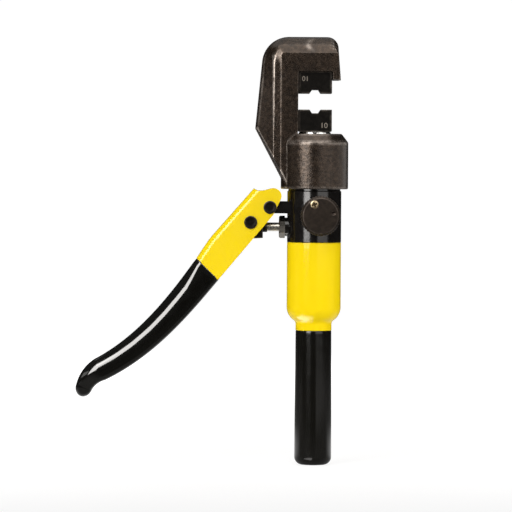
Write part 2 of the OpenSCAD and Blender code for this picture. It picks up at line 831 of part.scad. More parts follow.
// One die with its face up: half-hexagon groove, chamfered ends and a stem below
module die() {
    half_w = die_w / 2;
    difference() {
        union() {
            front_plate(die_d) polygon([[-half_w + die_chamfer, 0], [half_w - die_chamfer, 0],
                [half_w, die_chamfer], [half_w, die_h - die_chamfer], [half_w - die_chamfer, die_h],
                [groove_mouth / 2, die_h], [groove_floor / 2, die_h - groove_depth],
                [-groove_floor / 2, die_h - groove_depth], [-groove_mouth / 2, die_h],
                [-half_w + die_chamfer, die_h], [-half_w, die_h - die_chamfer], [-half_w, die_chamfer]]);
            z_turned(stem_r, -stem_len, over, edge, 0);
        }
        translate([0, 0, -stem_len * detent_z_share])
            y_bar(detent_ball_r + running_fit, -stem_r - over, detent_hole - stem_r);
    }
}

// Ball and spring of a stem's detent
detent_y = -stem_r - detent_depth + detent_ball_r;
module detent_ball() {
    translate([0, detent_y, -stem_len * detent_z_share]) ball(detent_ball_r);
}

module detent_spring() {
    translate([0, 0, -stem_len * detent_z_share]) rotate([-90, 0, 0])
        coil(detent_ball_r - detent_wire_r - running_fit, detent_wire_r,
            detent_y + detent_ball_r * detent_seat_share, detent_hole - stem_r - seat_fit, detent_turns);
}

// Lower die on the ram, upper die turned over under the jaw
module at_lower_die() {
    translate([0, 0, ram_top_z]) children();
}

module at_upper_die() {
    translate([0, 0, ceiling_z]) rotate([0, 180, 0]) children();
}

module lower_die() {
    color([0.1, 0.1, 0.11]) at_lower_die() die();
}

module upper_die() {
    color([0.1, 0.1, 0.11]) at_upper_die() die();
}

module lower_detent_ball() {
    color([0.75, 0.75, 0.77]) at_lower_die() detent_ball();
}

module upper_detent_ball() {
    color([0.75, 0.75, 0.77]) at_upper_die() detent_ball();
}

module lower_detent_spring() {
    color([0.6, 0.6, 0.62]) at_lower_die() detent_spring();
}

module upper_detent_spring() {
    color([0.6, 0.6, 0.62]) at_upper_die() detent_spring();
}

// Return spring round the ram's rod, between its piston and the head
module ram_spring() {
    color([0.5, 0.5, 0.52])
        coil(ram_coil_r, ram_wire / 2, piston_top_z + seat_fit, spring_z - seat_fit, ram_turns);
}

// Ram: piston with its seal groove, and the rod that carries the lower die
module ram() {
    color([0.78, 0.78, 0.8]) difference() {
        union() {
            z_turned(piston_r, piston_z, piston_top_z, edge, edge);
            z_turned(rod_r, piston_top_z - over, ram_top_z, 0, edge);
        }
        z_ring(piston_r + over, piston_r - seal_depth, seal_groove_z, seal_groove_z + seal_h);
        z_bar(stem_r + running_fit, ram_top_z - stem_len - stem_room, ram_top_z + over);
        detent_groove(ram_top_z - stem_len * detent_z_share);
    }
}

module ram_seal() {
    color([0.1, 0.1, 0.1])
        z_ring(bore_d / 2 - seat_fit, piston_r - seal_depth + seat_fit,
            seal_groove_z + seat_fit, seal_groove_z + seal_h - seat_fit);
}

// Centre line of the handle as [along, across, direction], from the ear to the end of the hook
function curve_turn(t) = bend_start + bend_even * t + bend_rising * t * t;
function curve_walk(n, i = 0, at = [mouth_along, mouth_across]) =
    let (t = i / n, step = grip_curve_len / n, mid = curve_turn((i + 0.5) / n))
    concat([[at[0], at[1], curve_turn(t)]],
        i == n ? [] : curve_walk(n, i + 1, at + step * [cos(mid), sin(mid)]));
function hook_walk(n, start, i = 0) =
    let (step = hook_len / n, turn = start[2] + hook_turn / n, mid = start[2] + hook_turn / n / 2,
        next = [start[0] + step * cos(mid), start[1] + step * sin(mid), turn])
    i == n ? [] : concat([next], hook_walk(n, next, i + 1));

// A section point on the ring at a station: distance towards the web, and towards the back
function on_ring(station, p) = [
    station[0] - p[0] * sin(station[2]), station[1] + p[0] * cos(station[2]), p[1]];

// Quarter round about a centre, from a start angle
function quarter(c, r, start, steps) =
    [for (i = [0 : steps]) c + r * [cos(start + 90 * i / steps), sin(start + 90 * i / steps)]];

// Section of the grip: a rectangle with wide rounds on the web side and small ones on the palm side
function grip_section(half_h, half_t, wide_r) =
    let (limit = 2 * grip_corner_share * min(half_h, half_t),
        web_r = min(wide_r, limit), palm_r = min(grip_palm_r, limit))
    concat(quarter([half_h - web_r, half_t - web_r], web_r, 0, section_steps),
        quarter([palm_r - half_h, half_t - palm_r], palm_r, 90, section_steps),
        quarter([palm_r - half_h, palm_r - half_t], palm_r, 180, section_steps),
        quarter([half_h - web_r, web_r - half_t], web_r, 270, section_steps));

// Section of the folded channel, open towards the palm: its edges lie low, its web's outside high
function channel_section(low, high, half_t, fold) =
    let (in_h = high - sheet_t, in_t = half_t - sheet_t, r = fold - sheet_t)
    concat([[-low, -half_t]],
        quarter([high - fold, fold - half_t], fold, 270, fold_steps),
        quarter([high - fold, half_t - fold], fold, 0, fold_steps),
        [[-low, half_t], [-low, in_t]],
        [for (p = quarter([in_h - r, r - in_t], r, 270, fold_steps)) [p[0], -p[1]]],
        [for (p = quarter([in_h - r, in_t - r], r, 0, fold_steps)) [p[0], -p[1]]],
        [[-low, -in_t]]);

// Depth and web-side rounding of the grip along the curve, and its size along the hook
function curve_depth(t) = grip_mouth_h + (grip_hook_h - grip_mouth_h) * pow(t, depth_power);
function curve_round(t) = grip_mouth_r + (grip_web_r - grip_mouth_r) * min(t / round_share, 1);
function hook_depth(t) = grip_hook_h + (grip_tip_h - grip_hook_h) * t;
function hook_thickness(t) = grip_t + (grip_tip_t - grip_t) * t * t;

// Steel channel of the handle: an ear round the pivot, a bend, then a narrower core in the grip
module handle_channel() {
    curve = curve_walk(curve_rings);
    inset = grip_wall + core_fit;
    mouth_half = grip_mouth_h / 2 - grip_proud;
    shown = [
        [[channel_start, 0, 0], flange_drop, web_out],
        [[bend_along, 0, 0], flange_drop, web_out + web_rise],
        [[mouth_along - mouth_groove, mouth_across, bend_start], mouth_half, mouth_half]];
    core = [for (i = [0 : core_last])
        let (half_h = curve_depth(i / curve_rings) / 2 - inset, fold = curve_round(i / curve_rings) - inset)
        on_section(curve[i], channel_section(half_h - grip_palm_r, half_h, grip_t / 2 - inset, fold))];
    color([0.98, 0.86, 0.06]) in_handle() difference() {
        skin_rings(concat(
            [for (s = shown) on_section(s[0], channel_section(s[1], s[2], channel_w / 2, fold_r))], core));
        ear_trim();
        y_hole(0, 0);
        y_hole(drive_along, drive_across);
    }
}

// A whole ring at a station
function on_section(station, section) = [for (p = section) on_ring(station, p)];

// A pin's hole across the handle
module y_hole(along, across) {
    translate([along, across, 0]) cylinder(r = pin_r + seat_fit, h = channel_w + 2 * over, center = true);
}

// What is trimmed off the channel's end to leave the ear and its round nose
module ear_trim() {
    top = web_out + web_rise;
    low = -flange_drop - over;
    rise_angle = 126;
    fall_angle = 251;
    rise = [nose_along, nose_across] + nose_r * [cos(rise_angle), sin(rise_angle)];
    fall = [nose_along, nose_across] + nose_r * [cos(fall_angle), sin(fall_angle)];
    linear_extrude(height = channel_w + 2 * over, center = true) difference() {
        translate([channel_start - over, low])
            square([ear_heel_along - channel_start + over, top - low + over]);
        polygon([[web_end_along, top + 2 * over], [web_end_along, web_out - fold_r / 2],
            [ear_dip_along, ear_dip_across], rise, [nose_along, nose_across], fall,
            [ear_heel_along, -flange_drop], [ear_heel_along, low - over],
            [ear_heel_along + over, low - over], [ear_heel_along + over, top + 2 * over]]);
        translate([nose_along, nose_across]) circle(r = nose_r);
    }
}

// Black grip: one dipped sock over the core, curved to a hooked tip
module handle_grip() {
    curve = curve_walk(curve_rings);
    hook = hook_walk(hook_rings, curve[curve_rings]);
    tip = hook[hook_rings - 1];
    inner = [for (i = [core_last + 1 : -1 : 0])
        on_section(curve[i],
            grip_section(curve_depth(i / curve_rings) / 2 - grip_wall, grip_t / 2 - grip_wall,
                curve_round(i / curve_rings) - grip_wall))];
    outer = [for (i = [0 : curve_rings])
        on_section(curve[i],
            grip_section(curve_depth(i / curve_rings) / 2, grip_t / 2, curve_round(i / curve_rings)))];
    hooked = [for (i = [1 : hook_rings])
        on_section(hook[i - 1],
            grip_section(hook_depth(i / hook_rings) / 2, hook_thickness(i / hook_rings) / 2,
                grip_web_r))];
    rounded = [for (i = [1 : tip_rings])
        let (a = tip_last_angle * i / tip_rings, ahead = tip_reach * sin(a))
        on_section([tip[0] + ahead * cos(tip[2]), tip[1] + ahead * sin(tip[2]), tip[2]],
            grip_section(grip_tip_h / 2 * cos(a), grip_tip_t / 2 - grip_tip_h / 2 * (1 - cos(a)),
                grip_web_r))];
    color([0.05, 0.05, 0.06]) in_handle() skin_rings(concat(inner, outer, hooked, rounded));
}

// A headed pin across the handle, with a clip groove at its back end
module headed_pin() {
    half = channel_w / 2;
    difference() {
        union() {
            y_bar(pin_r, -half - pin_head_t / 2, half + pin_tail);
            y_bar(pin_head_r, -half - pin_head_t, -half);
        }
        difference() {
            y_bar(pin_r + over, half, half + clip_t + seat_fit);
            y_bar(pin_r - clip_depth, half - over, half + clip_t + over);
        }
    }
}

module pivot_pin() {
    color([0.1, 0.1, 0.11]) translate([pivot_x, 0, pivot_z]) headed_pin();
}

module drive_pin() {
    color([0.1, 0.1, 0.11]) translate([drive_x, 0, drive_z]) headed_pin();
}

// The two spring clips behind the handle
module pin_clips() {
    half = channel_w / 2;
    color([0.3, 0.3, 0.32])
        for (at = [[pivot_x, pivot_z], [drive_x, drive_z]])
            translate([at[0], 0, at[1]]) difference() {
                y_bar(pin_r + clip_out, half + seat_fit / 2, half + clip_t);
                y_bar(pin_r - clip_depth + seat_fit, half - over, half + clip_t + over);
                translate([-pin_r + clip_depth, half - over, -pin_r - clip_out - over])
                    cube([2 * (pin_r - clip_depth), clip_t + 2 * over, pin_r + clip_out + over]);
            }
}

// Pump plunger
module plunger_rod() {
    color([0.85, 0.85, 0.87]) translate([0, 0, plunger_z])
        rotate([0, 90, 0]) z_turned(plunger_r, plunger_start_x, plunger_tip_x, edge / 2, edge);
}

// Crosshead: an upright slot for the drive pin and a socket for the plunger
module plunger_yoke() {
    color([0.12, 0.12, 0.13]) difference() {
        union() {
            front_plate(block_t) polygon([[yoke_x + yoke_chamfer, yoke_low_z],
                [yoke_nose_x, yoke_low_z + yoke_slope],
                [yoke_nose_x, yoke_top_z - yoke_chamfer], [yoke_nose_x - yoke_chamfer, yoke_top_z],
                [yoke_x + yoke_chamfer, yoke_top_z], [yoke_x, yoke_top_z - yoke_chamfer],
                [yoke_x, yoke_low_z + yoke_chamfer]]);
            translate([0, 0, plunger_z]) x_bar(collar_r, yoke_nose_x - over, yoke_nose_x + collar_len);
        }
        translate([drive_x - slot_r, -block_t, slot_low_z + slot_r])
            cube([2 * slot_r, 2 * block_t, slot_high_z - slot_low_z - 2 * slot_r]);
        for (z = [slot_low_z + slot_r, slot_high_z - slot_r])
            translate([drive_x, 0, z]) y_bar(slot_r, -block_t, block_t);
        translate([0, 0, plunger_z])
            x_bar(plunger_r + seat_fit, plunger_start_x - seat_fit, yoke_nose_x + collar_len + over);
    }
}

// Release knob: a chamfered disc with a notched rim, a stop screw hole and a dimple
module release_knob() {
    color([0.08, 0.08, 0.09]) at_knob() difference() {
        translate([0, knob_front_y, 0]) rotate([-90, 0, 0])
            z_turned(knob_d / 2, 0, knob_t, knob_chamfer, edge);
        for (i = [0 : knob_grip_count - 1])
            rotate([0, 360 * i / knob_grip_count, 0]) translate([knob_d / 2 + knob_grip_r / 2, 0, 0])
                y_bar(knob_grip_r, knob_front_y - over, knob_back_y + over, $fn = 24);
        y_bar(spindle_r + seat_fit, knob_back_y - spindle_in, knob_back_y + over);
        at_stop() {
            y_bar(stop_pin_r + seat_fit, knob_front_y - over, knob_back_y + over);
            y_bar(stop_head_d / 2 + running_fit, knob_front_y - over,
                knob_front_y + stop_sink + stop_head_t);
        }
        translate([stop_r * cos(dimple_angle), knob_front_y, stop_r * sin(dimple_angle)]) ball(dimple_r);
    }
}

// The stop screw's place on the knob
module at_stop() {
    translate([stop_r * cos(stop_angle), 0, stop_r * sin(stop_angle)]) children();
}

// Spindle that presses the ball, with a groove for its seal
module release_spindle() {
    color([0.7, 0.7, 0.72]) at_knob() difference() {
        y_bar(spindle_r, knob_back_y - spindle_in + seat_fit, spindle_tip_y - seat_fit);
        difference() {
            y_bar(spindle_r + over, spindle_seal_y - spindle_seal_t, spindle_seal_y);
            y_bar(spindle_seal_r, spindle_seal_y - spindle_seal_t - over, spindle_seal_y + over);
        }
    }
}

module spindle_seal() {
    color([0.1, 0.1, 0.1]) at_knob() difference() {
        y_bar(spindle_r + seat_fit, spindle_seal_y - spindle_seal_t + seat_fit, spindle_seal_y - seat_fit);
        y_bar(spindle_seal_r + seat_fit, spindle_seal_y - spindle_seal_t - over, spindle_seal_y + over);
    }
}

// Brass stop screw: cross-recessed head in the knob's face, tip in the boss's groove
module stop_screw() {
    head_y = knob_front_y + stop_sink;
    color([0.8, 0.65, 0.25]) at_knob() at_stop() difference() {
        union() {
            y_bar(stop_head_d / 2, head_y, head_y + stop_head_t - seat_fit);
            y_bar(stop_pin_r, head_y + stop_head_t - over, knob_boss_y + stop_in);
        }
        for (a = [0, 90])
            rotate([0, a + recess_turn, 0]) translate([-recess_len / 2, head_y - over, -recess_w / 2])
                cube([recess_len, over + recess_depth, recess_w]);
    }
}

pump_body();
reservoir();
oil_bladder();
grip_tube();
tube_plug();
grip_sleeve();
fulcrum_lug();
gland_nut();
plunger_packing();
inlet_seat();
inlet_ball();
inlet_spring();
outlet_ball();
outlet_spring();
outlet_plug();
relief_ball();
relief_spring();
relief_screw();
release_ball();
crimp_head();
upper_die();
upper_detent_ball();
upper_detent_spring();
ram_spring();
ram();
ram_seal();
lower_die();
lower_detent_ball();
lower_detent_spring();
handle_channel();
handle_grip();
pivot_pin();
drive_pin();
pin_clips();
plunger_rod();
plunger_yoke();
release_knob();
release_spindle();
spindle_seal();
stop_screw();
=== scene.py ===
# %% [markdown]
# A hydraulic crimping tool squeezes a cable lug between two small dies. A forged C-shaped head holds the
# upper die, and a ram that oil pushes up carries the lower one. The yellow and black lever works a small
# pump. The solids are already packed as a frame. One could give those solids colours and stop there, but
# their edges are too crisp, so the pieces that the eye rests on are made again here as smooth surfaces, and
# every solid that stays, the hidden ones too, gets a finish of its own.

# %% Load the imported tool
import json
import math

import bmesh
import bpy
import numpy as np
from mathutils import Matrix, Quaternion, Vector

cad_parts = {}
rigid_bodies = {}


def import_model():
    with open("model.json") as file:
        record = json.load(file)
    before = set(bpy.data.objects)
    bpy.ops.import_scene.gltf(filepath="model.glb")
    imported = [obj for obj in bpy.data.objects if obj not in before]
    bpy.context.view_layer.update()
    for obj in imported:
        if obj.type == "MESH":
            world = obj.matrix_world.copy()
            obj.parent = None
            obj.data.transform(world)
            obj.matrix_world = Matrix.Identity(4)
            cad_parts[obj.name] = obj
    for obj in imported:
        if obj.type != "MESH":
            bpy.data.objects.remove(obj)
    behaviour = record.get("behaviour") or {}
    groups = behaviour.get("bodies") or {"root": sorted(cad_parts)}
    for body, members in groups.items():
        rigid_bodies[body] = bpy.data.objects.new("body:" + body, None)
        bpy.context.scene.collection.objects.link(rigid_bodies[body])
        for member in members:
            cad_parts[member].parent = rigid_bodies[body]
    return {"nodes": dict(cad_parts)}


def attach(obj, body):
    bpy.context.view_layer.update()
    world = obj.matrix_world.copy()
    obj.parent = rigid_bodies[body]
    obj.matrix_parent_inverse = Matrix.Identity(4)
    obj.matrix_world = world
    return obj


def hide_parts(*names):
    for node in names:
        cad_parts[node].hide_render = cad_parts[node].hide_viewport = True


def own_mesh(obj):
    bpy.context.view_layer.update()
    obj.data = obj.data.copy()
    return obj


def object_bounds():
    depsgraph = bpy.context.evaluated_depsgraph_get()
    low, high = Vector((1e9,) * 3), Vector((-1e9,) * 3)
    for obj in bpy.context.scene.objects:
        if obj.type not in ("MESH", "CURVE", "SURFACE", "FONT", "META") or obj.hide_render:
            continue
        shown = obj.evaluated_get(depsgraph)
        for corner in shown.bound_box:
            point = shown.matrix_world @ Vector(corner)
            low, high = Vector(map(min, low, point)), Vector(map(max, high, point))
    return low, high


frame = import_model()
cad_low, cad_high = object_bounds()
nodes = frame["nodes"]
MM = 0.001
scene = bpy.context.scene

# %% [markdown]
# Every new piece starts as a grid of points. A mesh could be built face by face with operators, but a grid
# worked out with arrays is quick, and its formula can be read. Points that fall together, as at a pole, are
# merged afterwards, and the faces are turned outwards.

# %% From a grid of points to a mesh
def grid_faces(rows, columns, rows_closed=False, columns_closed=True):
    """Quads of a grid. Point (i, j) joins (i, j + 1), (i + 1, j + 1) and (i + 1, j), and a closed
    direction also joins its last line of points to its first."""
    down = np.arange(rows if rows_closed else rows - 1)
    along = np.arange(columns if columns_closed else columns - 1)
    i, j = (side.ravel() for side in np.meshgrid(down, along, indexing="ij"))
    here, below, j_next = i * columns, (i + 1) % rows * columns, (j + 1) % columns
    return np.stack([here + j, here + j_next, below + j_next, below + j], 1)


def mesh_from(name, points, faces):
    """A mesh from points in millimetres, with coinciding points merged and the faces turned outwards."""
    mesh = bpy.data.meshes.new(name)
    places = np.asarray(points, float).reshape(-1, 3) * MM
    mesh.from_pydata(places.tolist(), [], [[int(v) for v in face] for face in faces])
    shell = bmesh.new()
    shell.from_mesh(mesh)
    bmesh.ops.remove_doubles(shell, verts=shell.verts, dist=0.001 * MM)
    bmesh.ops.recalc_face_normals(shell, faces=shell.faces)
    shell.to_mesh(mesh)
    shell.free()
    return mesh


def tube_from(name, rings):
    """A closed mesh from a grid of rings, with a many-sided face on the first ring and on the last."""
    count, around = rings.shape[:2]
    ring = np.arange(around)
    caps = [ring[::-1], ring + (count - 1) * around]
    return mesh_from(name, rings, list(grid_faces(count, around)) + caps)


def add_piece(name, mesh, body, finish, stands_for=(), crease=35):
    """Shows a mesh as a piece that rides on a body, smooth but for edges sharper than crease degrees."""
    piece = bpy.data.objects.new(name, mesh)
    scene.collection.objects.link(piece)
    mesh.shade_smooth()
    mesh.set_sharp_from_angle(angle=math.radians(crease))
    mesh.materials.clear()
    mesh.materials.append(finish)
    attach(piece, body)
    if stands_for:
        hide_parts(*stands_for)
    print(name, "faces:", len(mesh.polygons))
    return piece

print("grid of 3 x 4 points, closed one way:", len(grid_faces(3, 4)), "faces")

# %% [markdown]
# Nearly every edge of a real tool is rounded a little. The Bevel modifier can do that, but an outline that
# already has its arcs gives full control of each radius, so these helpers round the corners of a drawn
# line, divide its long sides, and turn it about an axis as a lathe does.

# %% Outlines and turning
def corner_arc(before, corner, after, radius, steps):
    """Arc that touches both sides of a corner. It starts radius / tan(half angle) before the corner, and
    its points are the two touching radii mixed by sin((1 - t) sweep) and sin(t sweep)."""
    back, on = before - corner, after - corner
    back, on = back / np.linalg.norm(back), on / np.linalg.norm(on)
    half = np.arccos(np.clip(back @ on, -1, 1)) / 2
    middle = corner + (back + on) / np.linalg.norm(back + on) * radius / np.sin(half)
    first = corner + back * radius / np.tan(half) - middle
    last = corner + on * radius / np.tan(half) - middle
    sweep = np.pi - 2 * half
    t = np.linspace(0, 1, steps)[:, None]
    return middle + (np.sin((1 - t) * sweep) * first + np.sin(t * sweep) * last) / np.sin(sweep)


def rounded(corners, steps=6, closed=False):
    """Outline through corners (a, b, radius), with an arc in place of each corner that has a radius."""
    spots = np.array(corners, float)
    places, last = spots[:, :2], len(corners) - 1
    sharp = [r == 0 or (not closed and i in (0, last)) for i, r in enumerate(spots[:, 2])]
    return np.concatenate([
        places[i:i + 1] if sharp[i] else
        corner_arc(places[i - 1], places[i], places[(i + 1) % len(corners)], spots[i, 2], steps)
        for i in range(len(corners))])


def divided(line, longest, closed=False):
    """The same line with extra points, so that no side is longer than the given length."""
    ends = np.roll(line, -1, axis=0)
    parts = [a + (b - a) * (np.arange(n) / n)[:, None] for a, b, n in zip(
        line, ends, np.ceil(np.linalg.norm(ends - line, axis=1) / longest).clip(1).astype(int))]
    return np.concatenate(parts) if closed else np.concatenate(parts[:-1] + [line[-1:]])


def turned(profile, steps=128, axis="z", centre=(0, 0, 0), closed=False):
    """Surface of revolution: a profile point (r, h) at angle a goes to r cos a and r sin a across the
    axis and h along it."""
    a = np.arange(steps) * 2 * np.pi / steps
    r, h = np.asarray(profile, float).T
    side, up, along = r[:, None] * np.cos(a), r[:, None] * np.sin(a), np.repeat(h[:, None], steps, 1)
    order = {"x": (along, side, up), "y": (side, along, up), "z": (side, up, along)}[axis]
    return np.stack(order, -1).reshape(-1, 3) + centre, grid_faces(len(r), steps, closed, True)

square = rounded([(0, 0, 1), (9, 0, 1), (9, 9, 1), (0, 9, 1)], 6, True)
print("a square with round corners:", len(square), "points")

# %% [markdown]
# Some shapes are easiest as one solid added to or cut from another, such as the bore in the head. The
# points round a hole could be worked out too, but Blender's Boolean modifier finds them by itself, and its
# result is taken over at once as a plain mesh. The Bevel modifier is used in the same way where a folded
# plate has plain cut edges.

# %% Joining, cutting and softening
def as_mesh(name, work):
    """What an object with modifiers or text shows, taken over as a plain mesh. The object goes."""
    scene.collection.objects.link(work)
    ready = bpy.data.meshes.new_from_object(work.evaluated_get(bpy.context.evaluated_depsgraph_get()))
    bpy.data.objects.remove(work)
    ready.name = name
    return ready


def with_modifiers(name, mesh, recipes):
    """The mesh after a list of (modifier type, settings)."""
    work = bpy.data.objects.new(name, mesh)
    for kind, settings in recipes:
        step = work.modifiers.new(kind, kind)
        for key, value in settings.items():
            setattr(step, key, value)
    return as_mesh(name, work)


def combined(name, mesh, *tools):
    """The mesh with closed meshes added (UNION) or cut away (DIFFERENCE), each given as (way, mesh)."""
    helpers = [bpy.data.objects.new(f"{name}_tool", tool) for way, tool in tools]
    for helper in helpers:
        scene.collection.objects.link(helper)
    ready = with_modifiers(name, mesh, [
        ("BOOLEAN", {"operation": way, "solver": "MANIFOLD", "object": helper})
        for (way, tool), helper in zip(tools, helpers)])
    for helper in helpers:
        bpy.data.objects.remove(helper)
    return ready

print("helpers for joining are ready")

# %% [markdown]
# Use rubs a tool's edges bright. The shader's own pointiness could show them, but it can't tell a ridge
# that is handled from one that isn't. So the wear is worked out from the mesh's normals, can be changed
# from place to place, and is kept on the points as an attribute that a finish reads. On the head and the
# stop screw the same attribute also carries painted highlights and painted shade.

# %% Wear along the edges
def smooth(value, low, high):
    """Smooth step from 0 at low to 1 at high: 3 t^2 - 2 t^3."""
    t = np.clip((value - low) / (high - low), 0, 1)
    return t * t * (3 - 2 * t)


def point_rows(mesh, what):
    """The places ("co") or the normals ("normal") of a mesh's points, a row each."""
    rows = np.empty(len(mesh.vertices) * 3)
    mesh.vertices.foreach_get(what, rows)
    return rows.reshape(-1, 3)


def mark_wear_and_light(mesh, start, full, hollow=0.0, share_at=None, more_at=None):
    """Handling wears the edges that stand out. Along each edge of the mesh the surface turns by the change
    of its normal along the edge, divided by the length. A point takes the largest turn of its edges, in
    radians a millimetre, eased from start to full, and keeps it as the attribute "wear". Hollow creases
    count by the share hollow, share_at(x, y, z) lessens the wear in places and more_at(x, y, z) adds to
    it. On the head and the stop screw these two also paint highlights and shade into the attribute."""
    places, normals = point_rows(mesh, "co") / MM, point_rows(mesh, "normal")
    ends = np.empty(len(mesh.edges) * 2, int)
    mesh.edges.foreach_get("vertices", ends)
    a, b = ends.reshape(-1, 2).T
    step = places[b] - places[a]
    turn = ((normals[b] - normals[a]) * step).sum(1) / np.maximum((step ** 2).sum(1), 1e-9)
    turn = np.where(turn > 0, turn, -hollow * turn)
    most = np.zeros(len(places))
    np.maximum.at(most, a, turn)
    np.maximum.at(most, b, turn)
    share = smooth(most, start, full)
    if share_at:
        share *= share_at(*places.T)
    if more_at:
        share = np.clip(share + more_at(*places.T), 0, 1)
    mesh.attributes.new("wear", "FLOAT", "POINT").data.foreach_set("value", share)
    return mesh

print("halfway up, a smooth step is", smooth(0.5, 0, 1))

# %% [markdown]
# A finish is a Principled shader with patterns on its colour, gloss and bump. Image textures would need
# files, so all patterns are noise in Object coordinates: those are metres on this tool, and a noise scale
# of 1000 gives grains of about a millimetre. Values that are the same all over go straight into the
# shader's sockets.

# %% Sockets and nodes of a finish
def plug(finish, socket, value):
    """Sets a socket to a value, or links it where the value is a node's output. A colour gets its alpha."""
    if isinstance(value, bpy.types.NodeSocket):
        finish.node_tree.links.new(value, socket)
    else:
        socket.default_value = (*value, 1) if socket.type == "RGBA" else value


def into(finish, value, socket):
    """Puts a value or an output into a socket of the Principled shader."""
    plug(finish, finish.node_tree.nodes["Principled BSDF"].inputs[socket], value)


def new_finish(name, colour, roughness, metallic=0.0, specular=0.5):
    """A Principled finish with its plain values on the shader's own sockets."""
    finish = bpy.data.materials.new(name)
    finish.use_nodes = True
    into(finish, colour, "Base Color")
    into(finish, roughness, "Roughness")
    into(finish, metallic, "Metallic")
    into(finish, specular, "Specular IOR Level")
    return finish


def node(finish, kind, **values):
    """A shader node with some of its inputs set, a space in their names being an underscore here."""
    made = finish.node_tree.nodes.new("ShaderNode" + kind)
    for key, value in values.items():
        plug(finish, made.inputs[key.replace("_", " ")], value)
    return made

print("helpers for nodes are ready")

# %% Patterns, mixes and bump
def noise(finish, scale, detail=3.0, stretch=(1, 1, 1)):
    """Noise with grains of about 1 / scale metres, drawn out along an axis by a stretch below 1."""
    place = node(finish, "TexCoord").outputs["Object"]
    place = node(finish, "Mapping", Vector=place, Scale=stretch).outputs["Vector"]
    return node(finish, "TexNoise", Vector=place, Scale=scale, Detail=detail).outputs["Fac"]


def ramp(finish, value, low, high, start, end):
    """Carries a value from the span low..high to start..end, held at both ends."""
    return node(finish, "MapRange", Value=value, From_Min=low, From_Max=high, To_Min=start,
                To_Max=end).outputs["Result"]


def mixed(finish, share, first, second):
    """Mixes two colours, each a triple or an output, by a share."""
    made = node(finish, "Mix")
    made.data_type = "RGBA"
    for index, value in ((0, share), (6, first), (7, second)):
        plug(finish, made.inputs[index], value)
    return made.outputs[2]


def maths(finish, operation, first, second):
    """Two values joined by an operation of the Math node, such as MULTIPLY or MAXIMUM."""
    made = node(finish, "Math")
    made.operation = operation
    plug(finish, made.inputs[0], first)
    plug(finish, made.inputs[1], second)
    return made.outputs["Value"]


def relief(finish, *layers):
    """Bump from layers of (height output, depth in millimetres), one on top of the other."""
    normal = None
    for height, depth in layers:
        values = {"Height": height, "Strength": 1.0, "Distance": depth * MM}
        if normal:
            values["Normal"] = normal
        normal = node(finish, "Bump", **values).outputs["Normal"]
    into(finish, normal, "Normal")


def bright_share(finish):
    """Share of the bright colour at a point: the piece's own wear attribute, broken up by noise. On the
    head it also holds painted highlights, and on the stop screw its low share is painted shade.
    """
    mark = node(finish, "Attribute")
    mark.attribute_name = "wear"
    broken = ramp(finish, noise(finish, 260, 4), 0.32, 0.6, 0.25, 1.0)
    return maths(finish, "MULTIPLY", mark.outputs["Fac"], broken)

print("helpers for patterns are ready")

# %% [markdown]
# The head is a steel forging, dark brown-black from scale and oil, satin and mottled, and rubbed bright
# along its ridges. A paint-like black would look dead, so the finish is mostly metal with two sizes of
# mottle, uneven gloss and a fine bump, and the ridges are lightened by the wear attribute, which also
# carries a few painted highlights. The dies, the pins, the knob and the small screw have the same finish
# in colours of their own. Bare metal has the fine lines of its machining instead.

# %% Steel finishes
def forged(name, dark, light, bright, rough, metallic, specular):
    """Mottled dark metal between two colours, with a bright colour on worn edges and on the painted
    highlights that the wear attribute holds, and coarse and fine bumps.
    """
    finish = new_finish(name, dark, rough, metallic, specular)
    clouds, grain = noise(finish, 330, 5), noise(finish, 1200, 4)
    skin = mixed(finish, ramp(finish, clouds, 0.36, 0.66, 0, 1), dark, light)
    into(finish, mixed(finish, bright_share(finish), skin, bright), "Base Color")
    into(finish, ramp(finish, grain, 0.3, 0.7, rough - 0.06, rough + 0.08), "Roughness")
    relief(finish, (clouds, 0.20), (grain, 0.085))
    return finish


def metal(name, colour, rough, spread, lines=(1, 1, 1), scratch=0.01):
    """Bare metal with machining lines drawn along the axes whose stretch is small."""
    finish = new_finish(name, colour, rough, 1.0)
    stroke, smudge = noise(finish, 1500, 3, lines), noise(finish, 120, 3)
    into(finish, ramp(finish, smudge, 0.3, 0.7, rough - spread, rough + spread), "Roughness")
    shade = tuple(0.82 * c for c in colour)
    into(finish, mixed(finish, ramp(finish, stroke, 0.3, 0.7, 0, 1), shade, colour), "Base Color")
    relief(finish, (stroke, scratch))
    return finish

forged_steel = forged("forged_steel", (0.015, 0.0094, 0.0056), (0.037, 0.0245, 0.0158), (0.40, 0.35, 0.31),
                      0.25, 0.65, 0.55)
black_oxide = forged("black_oxide", (0.0034, 0.0028, 0.0022), (0.0062, 0.0052, 0.0042),
                     (0.09, 0.078, 0.066), 0.34, 0.75, 0.25)
knob_black = forged("knob_black", (0.0135, 0.0096, 0.0068), (0.023, 0.0165, 0.012), (0.06, 0.048, 0.04),
                    0.38, 0.75, 0.4)
screw_brass = forged("screw_brass", (0.05, 0.035, 0.02), (0.07, 0.05, 0.03), (0.52, 0.42, 0.26),
                     0.34, 1.0, 0.5)
ram_steel = metal("ram_steel", (0.74, 0.73, 0.71), 0.13, 0.04, (0.05, 0.05, 1))
rod_steel = metal("rod_steel", (0.60, 0.565, 0.50), 0.26, 0.04, (0.05, 1, 1), 0.002)
nut_steel = metal("nut_steel", (0.20, 0.185, 0.165), 0.28, 0.06, (1, 1, 0.1), 0.015)
spring_steel = metal("spring_steel", (0.22, 0.21, 0.20), 0.34, 0.07)
brass = metal("brass", (0.78, 0.56, 0.24), 0.30, 0.06, (1, 1, 0.15), 0.02)
print("steel finishes:", forged_steel.name, black_oxide.name, ram_steel.name, nut_steel.name, brass.name)

# %% [markdown]
# The pump is in gloss black paint, the oil tank and the lever in yellow paint, the fixed grip is a rubber
# sleeve and the lever is dipped in vinyl. Paint could be a plain colour, but sprayed paint has a faint
# orange peel, and dipped vinyl runs in soft waves that bend its long highlight, so each has its own bump.

